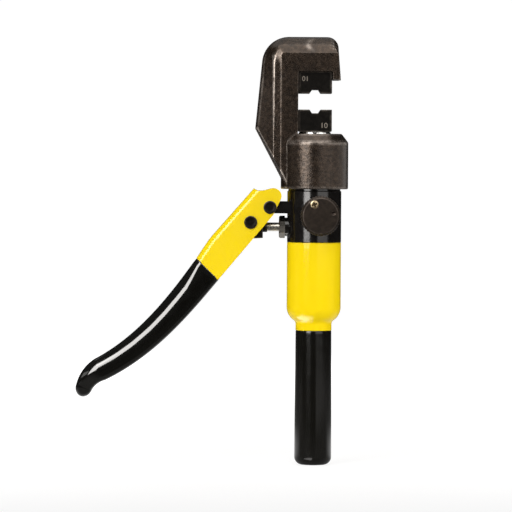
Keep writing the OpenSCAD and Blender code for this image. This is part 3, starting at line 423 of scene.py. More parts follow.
# %% Painted, rubber and vinyl finishes
def coated(name, colour, deep, rough, spread, peel, peel_depth, specular=0.5, chip=None):
    """Paint or rubber: a slow change between two close colours, uneven gloss and a skin of fine bumps."""
    finish = new_finish(name, colour, rough, 0.0, specular)
    drift = noise(finish, 45, 3)
    shade = mixed(finish, ramp(finish, drift, 0.35, 0.65, 0, 1), colour, deep)
    if chip:
        shade = mixed(finish, ramp(finish, bright_share(finish), 0.72, 0.86, 0, 1), shade, chip)
    into(finish, shade, "Base Color")
    into(finish, ramp(finish, noise(finish, 210, 3), 0.3, 0.7, rough - spread, rough + spread), "Roughness")
    relief(finish, (noise(finish, peel, 2), peel_depth))
    return finish

YELLOW = (0.94, 0.70, 0.006)
gloss_black = coated("gloss_black", (0.0042, 0.0036, 0.0032), (0.0055, 0.0047, 0.0042), 0.15, 0.04,
                     700, 0.014)
yellow_paint = coated("yellow_paint", YELLOW, (0.93, 0.685, 0.005), 0.16, 0.03, 620, 0.003, 0.35,
                      (0.16, 0.11, 0.03))
tank_paint = coated("tank_paint", YELLOW, (0.935, 0.69, 0.005), 0.10, 0.02, 620, 0.003, 0.12)
grip_rubber = coated("grip_rubber", (0.0034, 0.0031, 0.0024), (0.0042, 0.0038, 0.0030), 0.13, 0.02,
                     1600, 0.006)
grip_vinyl = coated("grip_vinyl", (0.0028, 0.0027, 0.0022), (0.0034, 0.0033, 0.0027), 0.09, 0.02,
                    130, 0.012, 0.8)
seal_rubber = coated("seal_rubber", (0.010, 0.010, 0.010), (0.014, 0.014, 0.014), 0.5, 0.06, 1400, 0.04)
die_number = coated("die_number", (0.23, 0.195, 0.155), (0.14, 0.12, 0.095), 0.55, 0.08, 1800, 0.03)
print("coats:", gloss_black.name, yellow_paint.name, grip_rubber.name, grip_vinyl.name)

# %% [markdown]
# The head is forged as a C: a spine, a top bar and a short lip, all with the same bevelled section, on a
# round skirt that turns on the pump. It could be hulled from blocks, but the ridges would not run smoothly
# round the corners. Here a section with six corners is carried along the C: four lines in the side view,
# the outer edge, the two ridges and the inner throat, have the same number of stations, and each station
# joins them.

# %% Lines and rounds of the head
def chained(stops, run_steps):
    """Stretches of a line, or of rows of lines, one after the other, with a straight run of so many steps
    from the end of each to the start of the next."""
    line = [stops[0]]
    for start, end, steps in zip(stops[:-1], stops[1:], run_steps):
        t = (np.arange(1, steps) / steps).reshape(-1, *[1] * (end.ndim - 1))
        line += [start[-1] + t * (end[0] - start[-1]), end]
    return np.concatenate(line)


def walk(corners, side_steps, arc_steps):
    """Line through corners (x, z, radius) with a fixed count of points: arc_steps on the arc of each inner
    corner and side_steps along each side."""
    spots = np.array(corners, float)
    arcs = [corner_arc(spots[i - 1, :2], spots[i, :2], spots[i + 1, :2], spots[i, 2], arc_steps)
            for i in range(1, len(spots) - 1)]
    return chained([spots[:1, :2]] + arcs + [spots[-1:, :2]], side_steps)


def at_depth(line, depth):
    """A line of the side view (x, z) set at a depth y, or at a depth for each point."""
    return np.stack([line[:, 0], np.broadcast_to(depth, len(line)), line[:, 1]], 1)


def drawn_in(line, inset):
    """The line moved inwards: a step (a, b) along it has its inner side towards (b, -a)."""
    along = np.gradient(line, axis=0)
    along /= np.linalg.norm(along, axis=1, keepdims=True)
    return line + inset * np.stack([along[:, 1], -along[:, 0]], 1)


def eased_corner(before, corner, after, reach, steps):
    """Round corner of the section at every station at once: the curve (1-t)^2 A + 2t(1-t) C + t^2 B, where
    A and B lie up to reach away from the corner C, and less on a short side."""
    back, on = before - corner, after - corner
    back_len, on_len = (np.linalg.norm(side, axis=1, keepdims=True) for side in (back, on))
    near = np.minimum(reach, 0.45 * np.minimum(back_len, on_len))
    first, last = corner + back / back_len * near, corner + on / on_len * near
    t = np.linspace(0, 1, steps)[:, None, None]
    return (1 - t) ** 2 * first + 2 * t * (1 - t) * corner + t ** 2 * last

print("a bent line has", len(walk([(0, 0, 0), (9, 0, 1), (9, 9, 0)], (4, 4), 6)), "points")

# %% The C of the head
SIDE_STEPS, ARC_STEPS, ROUND_STEPS, RUN_STEPS = (40, 56, 44, 24), 18, 9, (4, 12, 8, 18, 8)
HALF_DEEP, FLAT_DEEP, RIM_IN, RIM_DEEP = 14, 13.9, 1.4, 4.5
THROAT_TOP, LIP_FOOT, LIP_END = 244.5, 238.7, 238
edge_line = walk([(-23, 160.3, 0), (-44.7, 201.5, 2.5), (-38.0, 270.5, 20.4), (16.9, 270.5, 8.5),
                  (19.4, LIP_FOOT, 0)], SIDE_STEPS, ARC_STEPS)
ridge_line = walk([(-21.5, 161.7, 0), (-31.3, 180.3, 2.5), (-31.3, 263.6, 7.0), (16.0, 263.6, 4.3),
                   (18.4, LIP_FOOT, 0)], SIDE_STEPS, ARC_STEPS)
face_line = walk([(-20, 158.9, 0), (-25.5, 169.3, 1.5), (-25.5, 258.4, 2.2), (17.3, 258.4, 2.2),
                  (18.0, LIP_FOOT, 0)], SIDE_STEPS, ARC_STEPS)
throat_line = walk([(-14.5, 166, 0), (-12.8, 203, 0.5), (-12.8, THROAT_TOP, 1), (13.1, THROAT_TOP, 1),
                    (13.1, LIP_FOOT, 0)], SIDE_STEPS, ARC_STEPS)
top_bar = smooth(ridge_line[:, 1:], 250, 262)
ridge_deep = -13.7 + 2.2 * top_bar[:, 0]
lines = [at_depth(edge_line, 0), at_depth(drawn_in(edge_line, RIM_IN), -RIM_DEEP),
         at_depth(ridge_line, ridge_deep), at_depth(face_line, -HALF_DEEP),
         at_depth(throat_line, -HALF_DEEP), at_depth(throat_line, 0)]
section_rounds = (1.0, 0.9 + 2.2 * top_bar, 0.4, 0.5)
arcs = [eased_corner(lines[i], lines[i + 1], lines[i + 2], reach, ROUND_STEPS)
        for i, reach in enumerate(section_rounds)]
# a thin bead along the spine's inner line, as high as half a sine wave
bead = 0.06 * (1 - top_bar[:, 0]) * (face_line[:, 0] < -20)
arcs[2][..., 1] -= np.sin(np.linspace(0, np.pi, ROUND_STEPS))[:, None] * bead
half = chained([lines[0][None]] + arcs + [lines[-1][None]], RUN_STEPS)
ring = np.concatenate([half, half[-2:0:-1] * (1, -1, 1)]).transpose(1, 0, 2)
print("head section:", ring.shape[1], "points at", ring.shape[0], "stations")

# %% [markdown]
# A forging isn't ruler straight, and on the top bar a flat oval pad stands out, beside a hammered hollow.
# These could be sculpted by hand, but a formula can be read and repeated, so they are moves of the points:
# two slow waves, and mounds whose height falls off as a smooth step. The lip's end is drawn in a little,
# and then the skirt is added and the bores for the ram and the die's stem are cut.

# %% Pad, skirt and bores
def mound(points, centre, radii, height):
    """How far an oval stands out at each point: its height times a smooth step of the distance from its
    centre in the side view, measured in its radii."""
    away = np.hypot((points[..., 0] - centre[0]) / radii[0], (points[..., 2] - centre[1]) / radii[1])
    return height * smooth(1 - away, 0, 0.7)

PAD, PAD_RADII = (3.4, 264.4), (11.0, 6.0)
lip_end = ring[-1].copy()
lip_end[:, :2] += (lip_end[:, :2].mean(0) - lip_end[:, :2]) * 0.1
lip_end[:, 2] = LIP_END
ring = np.concatenate([ring, lip_end[None]])
x, y, z = ring[..., 0], ring[..., 1], ring[..., 2]
# the waves and the pad count fully on the outer faces, and fade out towards the throat and the edge
wave = 0.10 * np.sin(0.21 * x + 0.13 * z) * np.sin(0.17 * z - 0.11 * x) * np.clip((z - 205) / 10, 0, 1)
outside = np.clip(np.abs(y) - 3, 0, 6) / 6 * np.clip((-x - 13.5) + np.clip(z - 246, 0, 40), 0, 2) / 2
swell = mound(ring, PAD, PAD_RADII, 0.5) + mound(ring, (14.2, 265.2), (3.4, 3.0), -0.4)
ring[..., 1] += np.sign(y) * outside * (swell * (np.abs(y) > 3) - wave)
frame_c = tube_from("head_c", ring)
skirt_line = rounded([(0, 156.5, 0), (25.25, 156.5, 0.9), (25.25, 191.5, 3.0), (20.25, 198, 1.6),
                      (0, 198, 0)], 10)
skirt = mesh_from("head_skirt", *turned(divided(skirt_line, 1.6), 160))
ram_bore = mesh_from("head_bore", *turned([(0, 155), (19.55, 155), (19.55, 185), (16, 185), (16, 188),
                                           (12.05, 188), (12.05, 198.6), (0, 198.6)], 160))
die_hole = mesh_from("die_hole", *turned([(0, 244), (4.05, 244), (4.05, 255.5), (0, 255.5)], 48))
head_mesh = combined("crimp_head_forged", frame_c, ("UNION", skirt), ("DIFFERENCE", ram_bore),
                     ("DIFFERENCE", die_hole))
print("head after joining and cutting:", len(head_mesh.vertices), "points")

# %% [markdown]
# The head is rubbed most high on the spine. Along its slanted foot and the seam with the skirt, the same
# bright colour paints highlight lines, and round the pad it paints a highlight and glints. The same wear
# all over would look like a pattern, so one function of the place says how much of it shows, and another
# adds the painted highlight and glints on the pad where no edge is.

# %% Wear of the head
def head_wear_and_highlights(x, y, z):
    """The slanted foot and the seam at the skirt get painted highlight lines in the bright colour. The
    spine's outer ridge wears more above than below, its inner line and the round skirt a little, and the
    edges of the throat hardly."""
    on_skirt = (np.hypot(x, y) < 25.6) & (z < 198.5) & (x > -20.5)
    in_throat = (x > -15.5) & (x < 13.8) & (z > 198.5) & (z < 246.5)
    # painted highlight lines: the seam with the skirt and the slanted foot take the bright colour
    seam_highlight = (np.abs(x + 21) < 0.8) & (np.abs(y) > 12.5) & (z < 194)
    slant_highlight = (z - 160.3 + (x + 23) * 1.9 < 6) & (x < -21) & (z < 203)
    ridges = (1 - smooth(z, 253, 260)) * (0.04 + 0.50 * smooth(z, 180, 245))
    ridges *= np.where(np.abs(y) > FLAT_DEEP, 0.1, 1.0)
    ridges = np.where(slant_highlight, 0.9, np.where(seam_highlight, 0.8, ridges))
    return np.where(on_skirt, 0.25, np.where(in_throat, 0.06, ridges))


def painted_pad_light(x, y, z):
    """Painted light on the top bar: a highlight painted as a crescent round the left of the pad, where the
    distance from its middle in radii is about 0.8, and glints painted on a few hammer marks at its right,
    peaks of two crossed waves."""
    away = np.hypot((x - PAD[0]) / PAD_RADII[0], (z - PAD[1]) / PAD_RADII[1])
    crescent = 0.34 * np.exp(-((away - 0.82) / 0.16) ** 2) * smooth(-x, -0.5, 4)
    marks = 0.6 * np.clip(np.sin(2.0 * x + 1.3 * z) * np.sin(1.6 * z - 1.1 * x), 0, 1)
    marks *= smooth(x, 10.5, 12.5) * smooth(z, 259.5, 262)
    return (crescent + marks) * (np.abs(y) < FLAT_DEEP) * (z > 258.6)

# the head's bright colour also paints highlights here: the seam, the slanted foot and the pad
mark_wear_and_light(head_mesh, 0.07, 0.20, 0.5, head_wear_and_highlights, painted_pad_light)
add_piece("crimp_head_forged", head_mesh, "head", forged_steel, ["crimp_head"])

# %% [markdown]
# Each die is a small block with a groove for the lug, a chamfer at its base and a number for its size. A
# block with bevels would do, but then wear could not follow the rims, so the block is an outline drawn from
# a hub: rings of the outline make the front, the rounded rim, the side and the back.

# %% Blocks from an outline
def block(outline, hub, front, back, rim, weight=1.0, shares=(0, 0.3, 0.6, 0.85)):
    """Solid between the depths front and back. Ring k is hub + (outline - hub) (1 - inset / reach): on the
    faces the inset is a share of the reach, and round the rim it is rim (1 - sin a) at the depth
    rim (1 - cos a), both times the weight of the outline's point."""
    reach = np.linalg.norm(outline - hub, axis=1)
    weight = np.broadcast_to(weight, reach.shape)
    a = np.linspace(0, np.pi / 2, 5)[:, None]
    turn_in, turn_deep = rim * weight * (1 - np.sin(a)), rim * weight * (1 - np.cos(a))
    face = reach * (1 - np.array(shares)[:, None])
    flat = np.zeros_like(face)
    inset = np.concatenate([face, turn_in, turn_in[::-1], face[::-1]])
    depth = np.concatenate([front + flat, front + turn_deep, back - turn_deep[::-1], back - flat])
    place = hub + (outline - hub) * (1 - inset / reach)[..., None]
    return np.stack([place[..., 0], depth, place[..., 1]], -1), grid_faces(*inset.shape)

groove_mouth, groove_floor, groove_depth = 4.25, 2.45, 2.7
die_half, die_tall, die_deep, die_chamfer = 12.5, 16.5, 10, 0.5
die_corners = [
    (-die_half + die_chamfer, 0, 0.3), (die_half - die_chamfer, 0, 0.3), (die_half, die_chamfer, 0.3),
    (die_half, die_tall, 0.35), (groove_mouth, die_tall, 0.3),
    (groove_floor, die_tall - groove_depth, 0.3), (-groove_floor, die_tall - groove_depth, 0.3),
    (-groove_mouth, die_tall, 0.3), (-die_half, die_tall, 0.35), (-die_half, die_chamfer, 0.3)]
die_outline = divided(rounded(die_corners, 4, True), 0.7, True)
in_groove = (np.abs(die_outline[:, 0]) < groove_mouth + 0.1) & (die_outline[:, 1] > die_tall / 2)
rim_weight = np.where(in_groove, 3.2, 1.0)
print("die outline:", len(die_outline), "points,", in_groove.sum(), "in the groove")

# %% The two dies with their stems
def die(name, base, up, body):
    """A die on its stem: the block, with a turned stem joined under its base. Up is 1 or -1, and a die
    that looks down is the same shape turned half round, so its groove faces the other one."""
    points, faces = block(die_outline, (0, 7.0), -die_deep, die_deep, 0.25, rim_weight)
    stem_line = rounded([(0, -9.9, 0), (4, -9.9, 0.7), (4, 1, 0), (0, 1, 0)], 5)
    stem_points, stem_faces = turned(stem_line, 48)
    pair = [mesh_from(name, part.reshape(-1, 3) * (up, 1, up) + (0, 0, base), side)
            for part, side in ((points, faces), (stem_points, stem_faces))]
    mesh = combined(name, pair[0], ("UNION", pair[1]))
    return add_piece(name, mark_wear_and_light(mesh, 0.6, 2.6), body, black_oxide, [name[:-7]])

RAM_TOP = 199.5
die("lower_die_ground", RAM_TOP, 1, "ram")
die("upper_die_ground", THROAT_TOP, -1, "head")

# %% [markdown]
# Each die carries a plain number for its size, stamped and filled with pale paint. A bump could draw it,
# but digits of Blender's own font, made a mesh and set just proud of the front face, stay sharp. On the
# upper die they stand on their head, because both dies are the same part.

# %% Numbers on the dies
def stamped_number(name, words, tall, centre, turn, body):
    """Digits as a thin mesh at the front of a die: flat text (a, b) goes to x and z, turned by 1 or -1."""
    curve = bpy.data.curves.new(name, "FONT")
    curve.body, curve.size, curve.extrude, curve.resolution_u = words, 1.0, 0.5, 4
    mesh = as_mesh(name, bpy.data.objects.new(name + "_flat", curve))
    places = point_rows(mesh, "co")
    low, high = places.min(0), places.max(0)
    places = (places - (low + high) / 2) / (high - low)[1]
    made = np.stack([centre[0] + turn * tall * places[:, 0], -die_deep - 0.02 - 0.06 * places[:, 2],
                     centre[1] + turn * tall * places[:, 1]], 1)
    mesh.vertices.foreach_set("co", (made * MM).ravel())
    return add_piece(name, mesh, body, die_number)

stamped_number("lower_die_number", "10", 4.0, (7.1, 204.2), 1, "ram")
stamped_number("upper_die_number", "10", 3.7, (-7.9, 239.1), -1, "head")

# %% [markdown]
# The oil tank and the fixed grip are turned parts. Cylinders could be drawn in and bevelled, but a lathe
# profile gives them their neck, shoulder and round end in one go, and their inner bores too, because the
# tank screws over the pump and the grip is a sleeve on a tube. The shoulder is a big convex arc that meets
# a small hollow one at the neck.

# %% Oil tank
def arc_points(centre, radius, first, last, steps):
    """Arc about a centre between two angles in degrees."""
    a = np.radians(np.linspace(first, last, steps))[:, None]
    return np.array(centre) + radius * np.concatenate([np.cos(a), np.sin(a)], 1)

SHOULDER_ROUND, FILLET_ROUND = 12, 3.5
shoulder, fillet = np.array([8.25, 67.9]), np.array([17.0, 55.106])
meet = np.degrees(np.arctan2(*(fillet - shoulder)[::-1]))
tank_line = np.concatenate([
    [(10.52, 50.5), (13.2, 50.5), (13.5, 50.8)], arc_points(fillet, FILLET_ROUND, 180, meet + 180, 14),
    arc_points(shoulder, SHOULDER_ROUND, meet, 0, 24), [(20.25, 90)],
    arc_points((19.75, 116.0), 0.5, 0, 90, 5),
    [(17.05, 116.5), (17.05, 102.1), (15.5, 102.1), (15.5, 67), (3, 67), (3, 64), (10.52, 64)]])
tank = mesh_from("oil_tank_painted", *turned(divided(tank_line, 4, True), 160, closed=True))
add_piece("oil_tank_painted", tank, "pump", tank_paint, ["reservoir"])

# %% Fixed grip
sleeve_line = rounded([(0, -50.5, 0), (14.0, -50.5, 6), (13.4, 50.5, 0.6), (10.52, 50.5, 0.3),
                       (10.52, -46.1, 0.3), (0, -46.1, 0)], 10)
sleeve = mesh_from("fixed_grip_sleeve", *turned(divided(sleeve_line, 2.5), 160))
add_piece("fixed_grip_sleeve", sleeve, "pump", grip_rubber, ["grip_sleeve"])

# %% [markdown]
# The lever's upper half is one sheet folded to a channel, with round ears for the two pins. A flat plate
# with Solidify and a bend could make it, but the ears' cut edge is curved, so the section is carried along
# the lever and each line of it starts where the ear's outline says. The lever stands at a slant, so its
# points are worked out along u, across v and sideways w, and turned into place at the end.

# %% The lever's own directions
PIVOT, SLANT = np.array([-33.4, 0, 142.7]), math.radians(50)
U_WAY = np.array([-math.cos(SLANT), 0, -math.sin(SLANT)])
V_WAY = np.array([-math.sin(SLANT), 0, math.cos(SLANT)])


def on_lever(u, v, w):
    """Place in the tool of a point u along the lever, v towards its back and w sideways, from the pivot."""
    u, v, w = np.broadcast_arrays(u, v, w)
    return PIVOT + u[..., None] * U_WAY + v[..., None] * V_WAY + w[..., None] * np.array([0, 1.0, 0])

print("lever runs from the pivot towards", np.round(U_WAY, 3))

# %% The folded channel
BACK_V, EDGE_V, WIDE, SHEET, FOLD = 17.9, -5.6, 22.0, 2.5, 5.0
MOUTH_U, GRIP_V, SKEW_START, SKEW = 65.4, 5.7, 0.23, 0.095
nose = arc_points((-8.2, 3.3), 5.9, 251, 126, 24)
ear_back = rounded([(*nose[-1], 0), (-6.5, 11.6, 4), (-3.2, 15.4, 0.8), (-3.2, 22, 0)], 10)
ear = np.concatenate([[(3, EDGE_V)], nose, ear_back[1:]])
back_line = rounded([(-20, 17.8, 0), (47, 19.2, 60), (70, 16.6, 0)], 20)


def channel_line(inset):
    """Half of the channel's section (v, w), from an edge round the fold to the middle of the back, for the
    outer side (inset 0) or the inner one (inset = sheet)."""
    half_w, top, bend = WIDE / 2 - inset, BACK_V - inset, FOLD - inset
    edge = np.linspace(EDGE_V, top - bend, 22)
    a = np.linspace(0, np.pi / 2, 12)[1:]
    across = np.linspace(half_w - bend, 0, 10)[1:]
    v = np.concatenate([edge, top - bend + bend * np.sin(a), np.full(len(across), top)])
    w = np.concatenate([np.full(len(edge), half_w), half_w - bend + bend * np.cos(a), across])
    return np.stack([v, w], 1)

outer, inner = channel_line(0), channel_line(SHEET)
outer = np.concatenate([outer * (1, -1), outer[-2::-1]])
inner = np.concatenate([inner * (1, -1), inner[-2::-1]])
section = np.concatenate([outer, inner[::-1]])
# each line of the section runs from the ear's outline to the slanted mouth, closer at the ear
starts = np.interp(section[:, 0], ear[:, 1], ear[:, 0])
t = (np.linspace(0, 1, 90) ** 1.25)[:, None]
mouth = MOUTH_U + SKEW_START - SKEW * (section[:, 0] - GRIP_V)
along = starts + t * (mouth - starts)
rise = np.interp(along, back_line[:, 0], back_line[:, 1])
across = EDGE_V + (section[:, 0] - EDGE_V) * (rise - EDGE_V) / (BACK_V - EDGE_V)
channel = on_lever(along, across, section[:, 1])
ends = np.arange(len(outer) - 1)
far = 2 * len(outer) - 1 - ends
cap = np.stack([ends, ends + 1, far - 1, far], 1)
channel_mesh = mesh_from("lever_channel_folded", channel, list(grid_faces(*channel.shape[:2])) +
                         list(cap) + list(cap + (len(channel) - 1) * channel.shape[1]))
soft_edges = {"width": 0.45 * MM, "segments": 2, "limit_method": "ANGLE", "angle_limit": math.radians(50)}
channel_mesh = with_modifiers("lever_channel_folded", channel_mesh, [("BEVEL", soft_edges)])
add_piece("lever_channel_folded", mark_wear_and_light(channel_mesh, 1.2, 3.0), "handle", yellow_paint,
          ["handle_channel"])

# %% [markdown]
# The lower half of the lever is dipped in thick vinyl. Its middle line bends more and more towards a small
# hook at the end, as a hand rests in it. A bent cylinder would be too even: the section is a rounded box,
# wide at the mouth and narrow at the hook, with big rounds at the back and small ones at the palm, and it
# closes in a round tip as the cosine of an angle.

# %% Curve and section of the dipped grip
GRIP_U, CURVE_LONG, HOOK_LONG, TIP_LONG, PALM_ROUND = 65, 112, 18, 7.6, 3.6


def lever_curve(steps, hook_steps):
    """Middle line of the grip. Its direction turns by -2.7 + 4 s + 22 s^2 degrees along the curve, then by
    43 degrees back along the hook, and the places are running sums of its steps. The round at the back
    grows from 5.2 to 9.5 over the first fifth."""
    s, h = np.linspace(0, 1, steps), np.linspace(0, 1, hook_steps + 1)[1:]
    turn = np.radians(np.concatenate([-2.7 + 4 * s + 22 * s ** 2, 23.3 - 43 * h]))
    gap = np.concatenate([np.full(steps - 1, CURVE_LONG / (steps - 1)),
                          np.full(hook_steps, HOOK_LONG / hook_steps)])
    middle = (turn[1:] + turn[:-1]) / 2
    u = GRIP_U + np.concatenate([[0], np.cumsum(gap * np.cos(middle))])
    v = GRIP_V + np.concatenate([[0], np.cumsum(gap * np.sin(middle))])
    tall = np.concatenate([23.4 - 5.8 * s ** 0.8, 17.6 - 5.0 * h]) / 2
    wide = np.concatenate([np.full(steps, 22.6), 22.6 - 7.6 * h ** 2]) / 2
    back = 5.2 + 4.3 * np.concatenate([np.clip(s / 0.2, 0, 1), np.ones(hook_steps)])
    return u, v, turn, tall, wide, back


def grip_rings(u, v, turn, tall, wide, back_round, palm_round):
    """Rounded-box section at every station: a quarter arc at each corner, with one radius at the back and
    another at the palm, both held below the section's half size. The mouth is cut askew: its points move
    along by 0.23 - 0.095 of their height, fading out over 14 mm."""
    a = np.linspace(0, np.pi / 2, 14)
    limit = 0.96 * np.minimum(tall, wide)[:, None]
    back, palm = np.minimum(back_round[:, None], limit), np.minimum(palm_round, limit)
    tall, wide = tall[:, None], wide[:, None]
    across = np.concatenate([tall - back + back * np.cos(a), palm - tall - palm * np.sin(a)], 1)
    side = np.concatenate([wide - back + back * np.sin(a), wide - palm + palm * np.cos(a)], 1)
    across, side = np.concatenate([across, across[:, ::-1]], 1), np.concatenate([side, -side[:, ::-1]], 1)
    skew = (SKEW_START - SKEW * across) * smooth(-u[:, None], -80, -66)
    return on_lever(u[:, None] + skew - across * np.sin(turn)[:, None],
                    v[:, None] + across * np.cos(turn)[:, None], side)

print("the grip's middle line is", CURVE_LONG + HOOK_LONG + TIP_LONG, "mm long")

# %% The dipped grip
u, v, turn, tall, wide, back = lever_curve(150, 44)
tip = np.linspace(0, np.pi / 2, 22)[1:]
ahead, tip_half = TIP_LONG * np.sin(tip), tall[-1] * np.cos(tip)
u = np.concatenate([u, u[-1] + ahead * np.cos(turn[-1])])
v = np.concatenate([v, v[-1] + ahead * np.sin(turn[-1])])
turn = np.concatenate([turn, np.full(len(tip), turn[-1])])
back = np.concatenate([back, np.full(len(tip), back[-1])])
wide = np.concatenate([wide, wide[-1] - tall[-1] + tip_half])
tall = np.concatenate([tall, np.maximum(tip_half, 0.01)])
lip, lip_round = np.linspace(0, np.pi / 2, 6), 0.8
mouth_in = np.concatenate([lip_round * (1 - np.sin(lip)), np.zeros(len(u) - len(lip))])
u[:len(lip)] = u[0] + lip_round * (1 - np.cos(lip))
grip = grip_rings(u, v, turn, tall - mouth_in, wide - mouth_in, back, PALM_ROUND)
print("grip rings:", grip.shape[:2], "tip at", np.round(grip[-1].mean(0), 1))

# %% The dipped grip's skin
# every ring shrinks a little towards its middle, more and less by two crossed waves, as a dip runs
ripple = 0.015 * np.sin(np.linspace(0, 61, len(grip)))[:, None]
ripple = ripple * np.sin(np.linspace(0, 6 * np.pi, grip.shape[1]))
shrink, mean_half = 0.12, 11
hub = grip.mean(1, keepdims=True)
grip = hub + (grip - hub) * (1 - (shrink + ripple)[..., None] / mean_half)
grip_mesh = tube_from("lever_grip_dipped", grip)
add_piece("lever_grip_dipped", grip_mesh, "handle", grip_vinyl, ["handle_grip"], 50)

# %% [markdown]
# The release knob lets the oil flow back. It is a satin black disc with a fine notched rim and a small
# dimple that marks its turn, and a brass screw stops it. The notches could be cut one by one, but as a
# formula of the angle they come for free: the rim's radius dips at forty places. Only the screw's seat is
# cut.

# %% Release knob
KNOB_X, KNOB_Z, KNOB_R, KNOB_FRONT, KNOB_BACK = 4.1, 136.6, 15.0, -29.2, -21.2
NOTCHES, NOTCH_ROUND, NOTCH_OUT = 40, 0.7, 0.35
DIMPLE_X, DIMPLE_Z, DIMPLE_ROUND, DIMPLE_DEEP = 9.61, 2.17, 1.5, 0.9
knob_a = np.arange(NOTCHES * 14) * 2 * np.pi / (NOTCHES * 14)
# a notch is a circle's arc in the distance from the nearest notch, and the dimple is a small paraboloid
from_notch = KNOB_R * (np.mod(knob_a * NOTCHES / (2 * np.pi) + 0.5, 1) - 0.5) * 2 * np.pi / NOTCHES
notch = np.sqrt(np.clip(NOTCH_ROUND ** 2 - from_notch ** 2, 0, None)) - NOTCH_OUT
chamfer_line = rounded([(0, KNOB_FRONT, 0), (13.2, KNOB_FRONT, 0.5), (KNOB_R, KNOB_FRONT + 1.8, 0.6),
                        (KNOB_R, KNOB_BACK, 0.5), (0, KNOB_BACK, 0)], 6)
chamfer_line = divided(chamfer_line, 0.5)
r = chamfer_line[:, :1] * np.ones_like(knob_a)
r -= np.clip(notch, 0, None) * np.clip((r - KNOB_R + 2.0) / 1.6, 0, 1)
away = np.hypot(r * np.cos(knob_a) - DIMPLE_X, r * np.sin(knob_a) - DIMPLE_Z)
dimple = DIMPLE_DEEP * np.clip(1 - (away / DIMPLE_ROUND) ** 2, 0, None)
deep = chamfer_line[:, 1:] + np.where(chamfer_line[:, 1:] < KNOB_FRONT + 1, dimple, 0)
knob_points = np.stack([KNOB_X + r * np.cos(knob_a), deep, KNOB_Z + r * np.sin(knob_a)], -1)
knob_blank = mesh_from("release_knob_turned", knob_points, grid_faces(*r.shape))
screw_out, screw_a = 9.85, math.radians(118.6)
screw_x, screw_z = KNOB_X + screw_out * math.cos(screw_a), KNOB_Z + screw_out * math.sin(screw_a)
screw_seat = mesh_from("screw_seat", *turned(
    [(0, -31), (3.25, -31), (3.2, -26.7), (1.6, -26.7), (1.6, -20), (0, -20)], 48, "y",
    (screw_x, 0, screw_z)))
knob_mesh = combined("release_knob_turned", knob_blank, ("DIFFERENCE", screw_seat))
add_piece("release_knob_turned", mark_wear_and_light(knob_mesh, 0.5, 1.6), "release", knob_black,
          ["release_knob"])

# %% [markdown]
# The stop screw is a small brass screw with a cross recess. Its head is turned with a slight dome, and the
# cross is a block with a plus-shaped outline that is cut out of it. A bump could fake the cross, but a cut
# keeps it in the mesh. Only the points near the front take the bright brass colour, so the cross recess and
# the sides of the head keep a dark colour as painted shade.

# %% Stop screw
screw_line = rounded([(0, -29.0, 0), (2.2, -28.9, 1.5), (3.1, -28.6, 0.35), (3.1, -26.6, 0.1),
                      (1.4, -26.6, 0), (1.4, -19.1, 0.3), (0, -19.1, 0)], 6)
screw_blank = mesh_from("stop_screw_turned", *turned(
    divided(screw_line, 1.0), 64, "y", (screw_x, 0, screw_z)))
arm, side = 2.2, 0.62
quarter = np.array([(arm, -side), (arm, side), (side, side)])
# three corners of the plus, turned by four quarter turns
turns = np.radians(20 + 90 * np.arange(4))
cosine, sine = np.cos(turns), np.sin(turns)
spin = np.stack([np.stack([cosine, -sine], 1), np.stack([sine, cosine], 1)], 1)
plus = np.einsum("kab,nb->kna", spin, quarter).reshape(-1, 2) + (screw_x, screw_z)
cross = mesh_from("screw_cross", *block(plus, (screw_x, screw_z), -30, -27.4, 0.05))
screw_mesh = combined("stop_screw_turned", screw_blank, ("DIFFERENCE", cross))
# painted shade: all but the front of the screw's head keeps the dark colour, so the cross shows dark
mark_wear_and_light(screw_mesh, 9, 10, 0, None, lambda x, y, z: 1.0 * (y < -28))
add_piece("stop_screw_turned", screw_mesh, "release", screw_brass, ["stop_screw"])

# %% [markdown]
# Two pins hold the lever: one is its pivot, and the other drives the pump. Their flat heads show at the
# front and a clip holds their tails. Cylinders with a bevel would lack the dish in the head and the groove
# for the clip, so both are turned from one profile.

# %% Lever pins
def headed_pin(name, x, z):
    """Pin across the lever: a head with a round rim and a slight dish, a shank, and a grooved tail."""
    line = rounded([(0, -12.0, 0), (2.4, -12.0, 1.5), (3.6, -12.2, 0.8), (4.9, -12.2, 0.45),
                    (4.9, -11, 0.1), (3, -11, 0), (3, 11, 0), (2.4, 11, 0), (2.4, 11.9, 0), (3, 11.9, 0),
                    (3, 12.9, 0.6), (0, 12.9, 0)], 6)
    mesh = mesh_from(name, *turned(divided(line, 1.2), 72, "y", (x, 0, z)))
    return add_piece(name, mark_wear_and_light(mesh, 0.8, 3.0), "handle", black_oxide, [name[:-7]])

headed_pin("pivot_pin_turned", PIVOT[0], PIVOT[2])
DRIVE_X, DRIVE_Z = -47.785, 131.4
headed_pin("drive_pin_turned", DRIVE_X, DRIVE_Z)

# %% [markdown]
# The drive pin moves in the slot of a yoke that pushes the plunger, and the yoke is milled from a plate. A
# box with bevels could show its outside, but the slot and the rod's bore are real openings, so they are cut
# from a block that is made from its outline and has a turned collar joined at its nose.

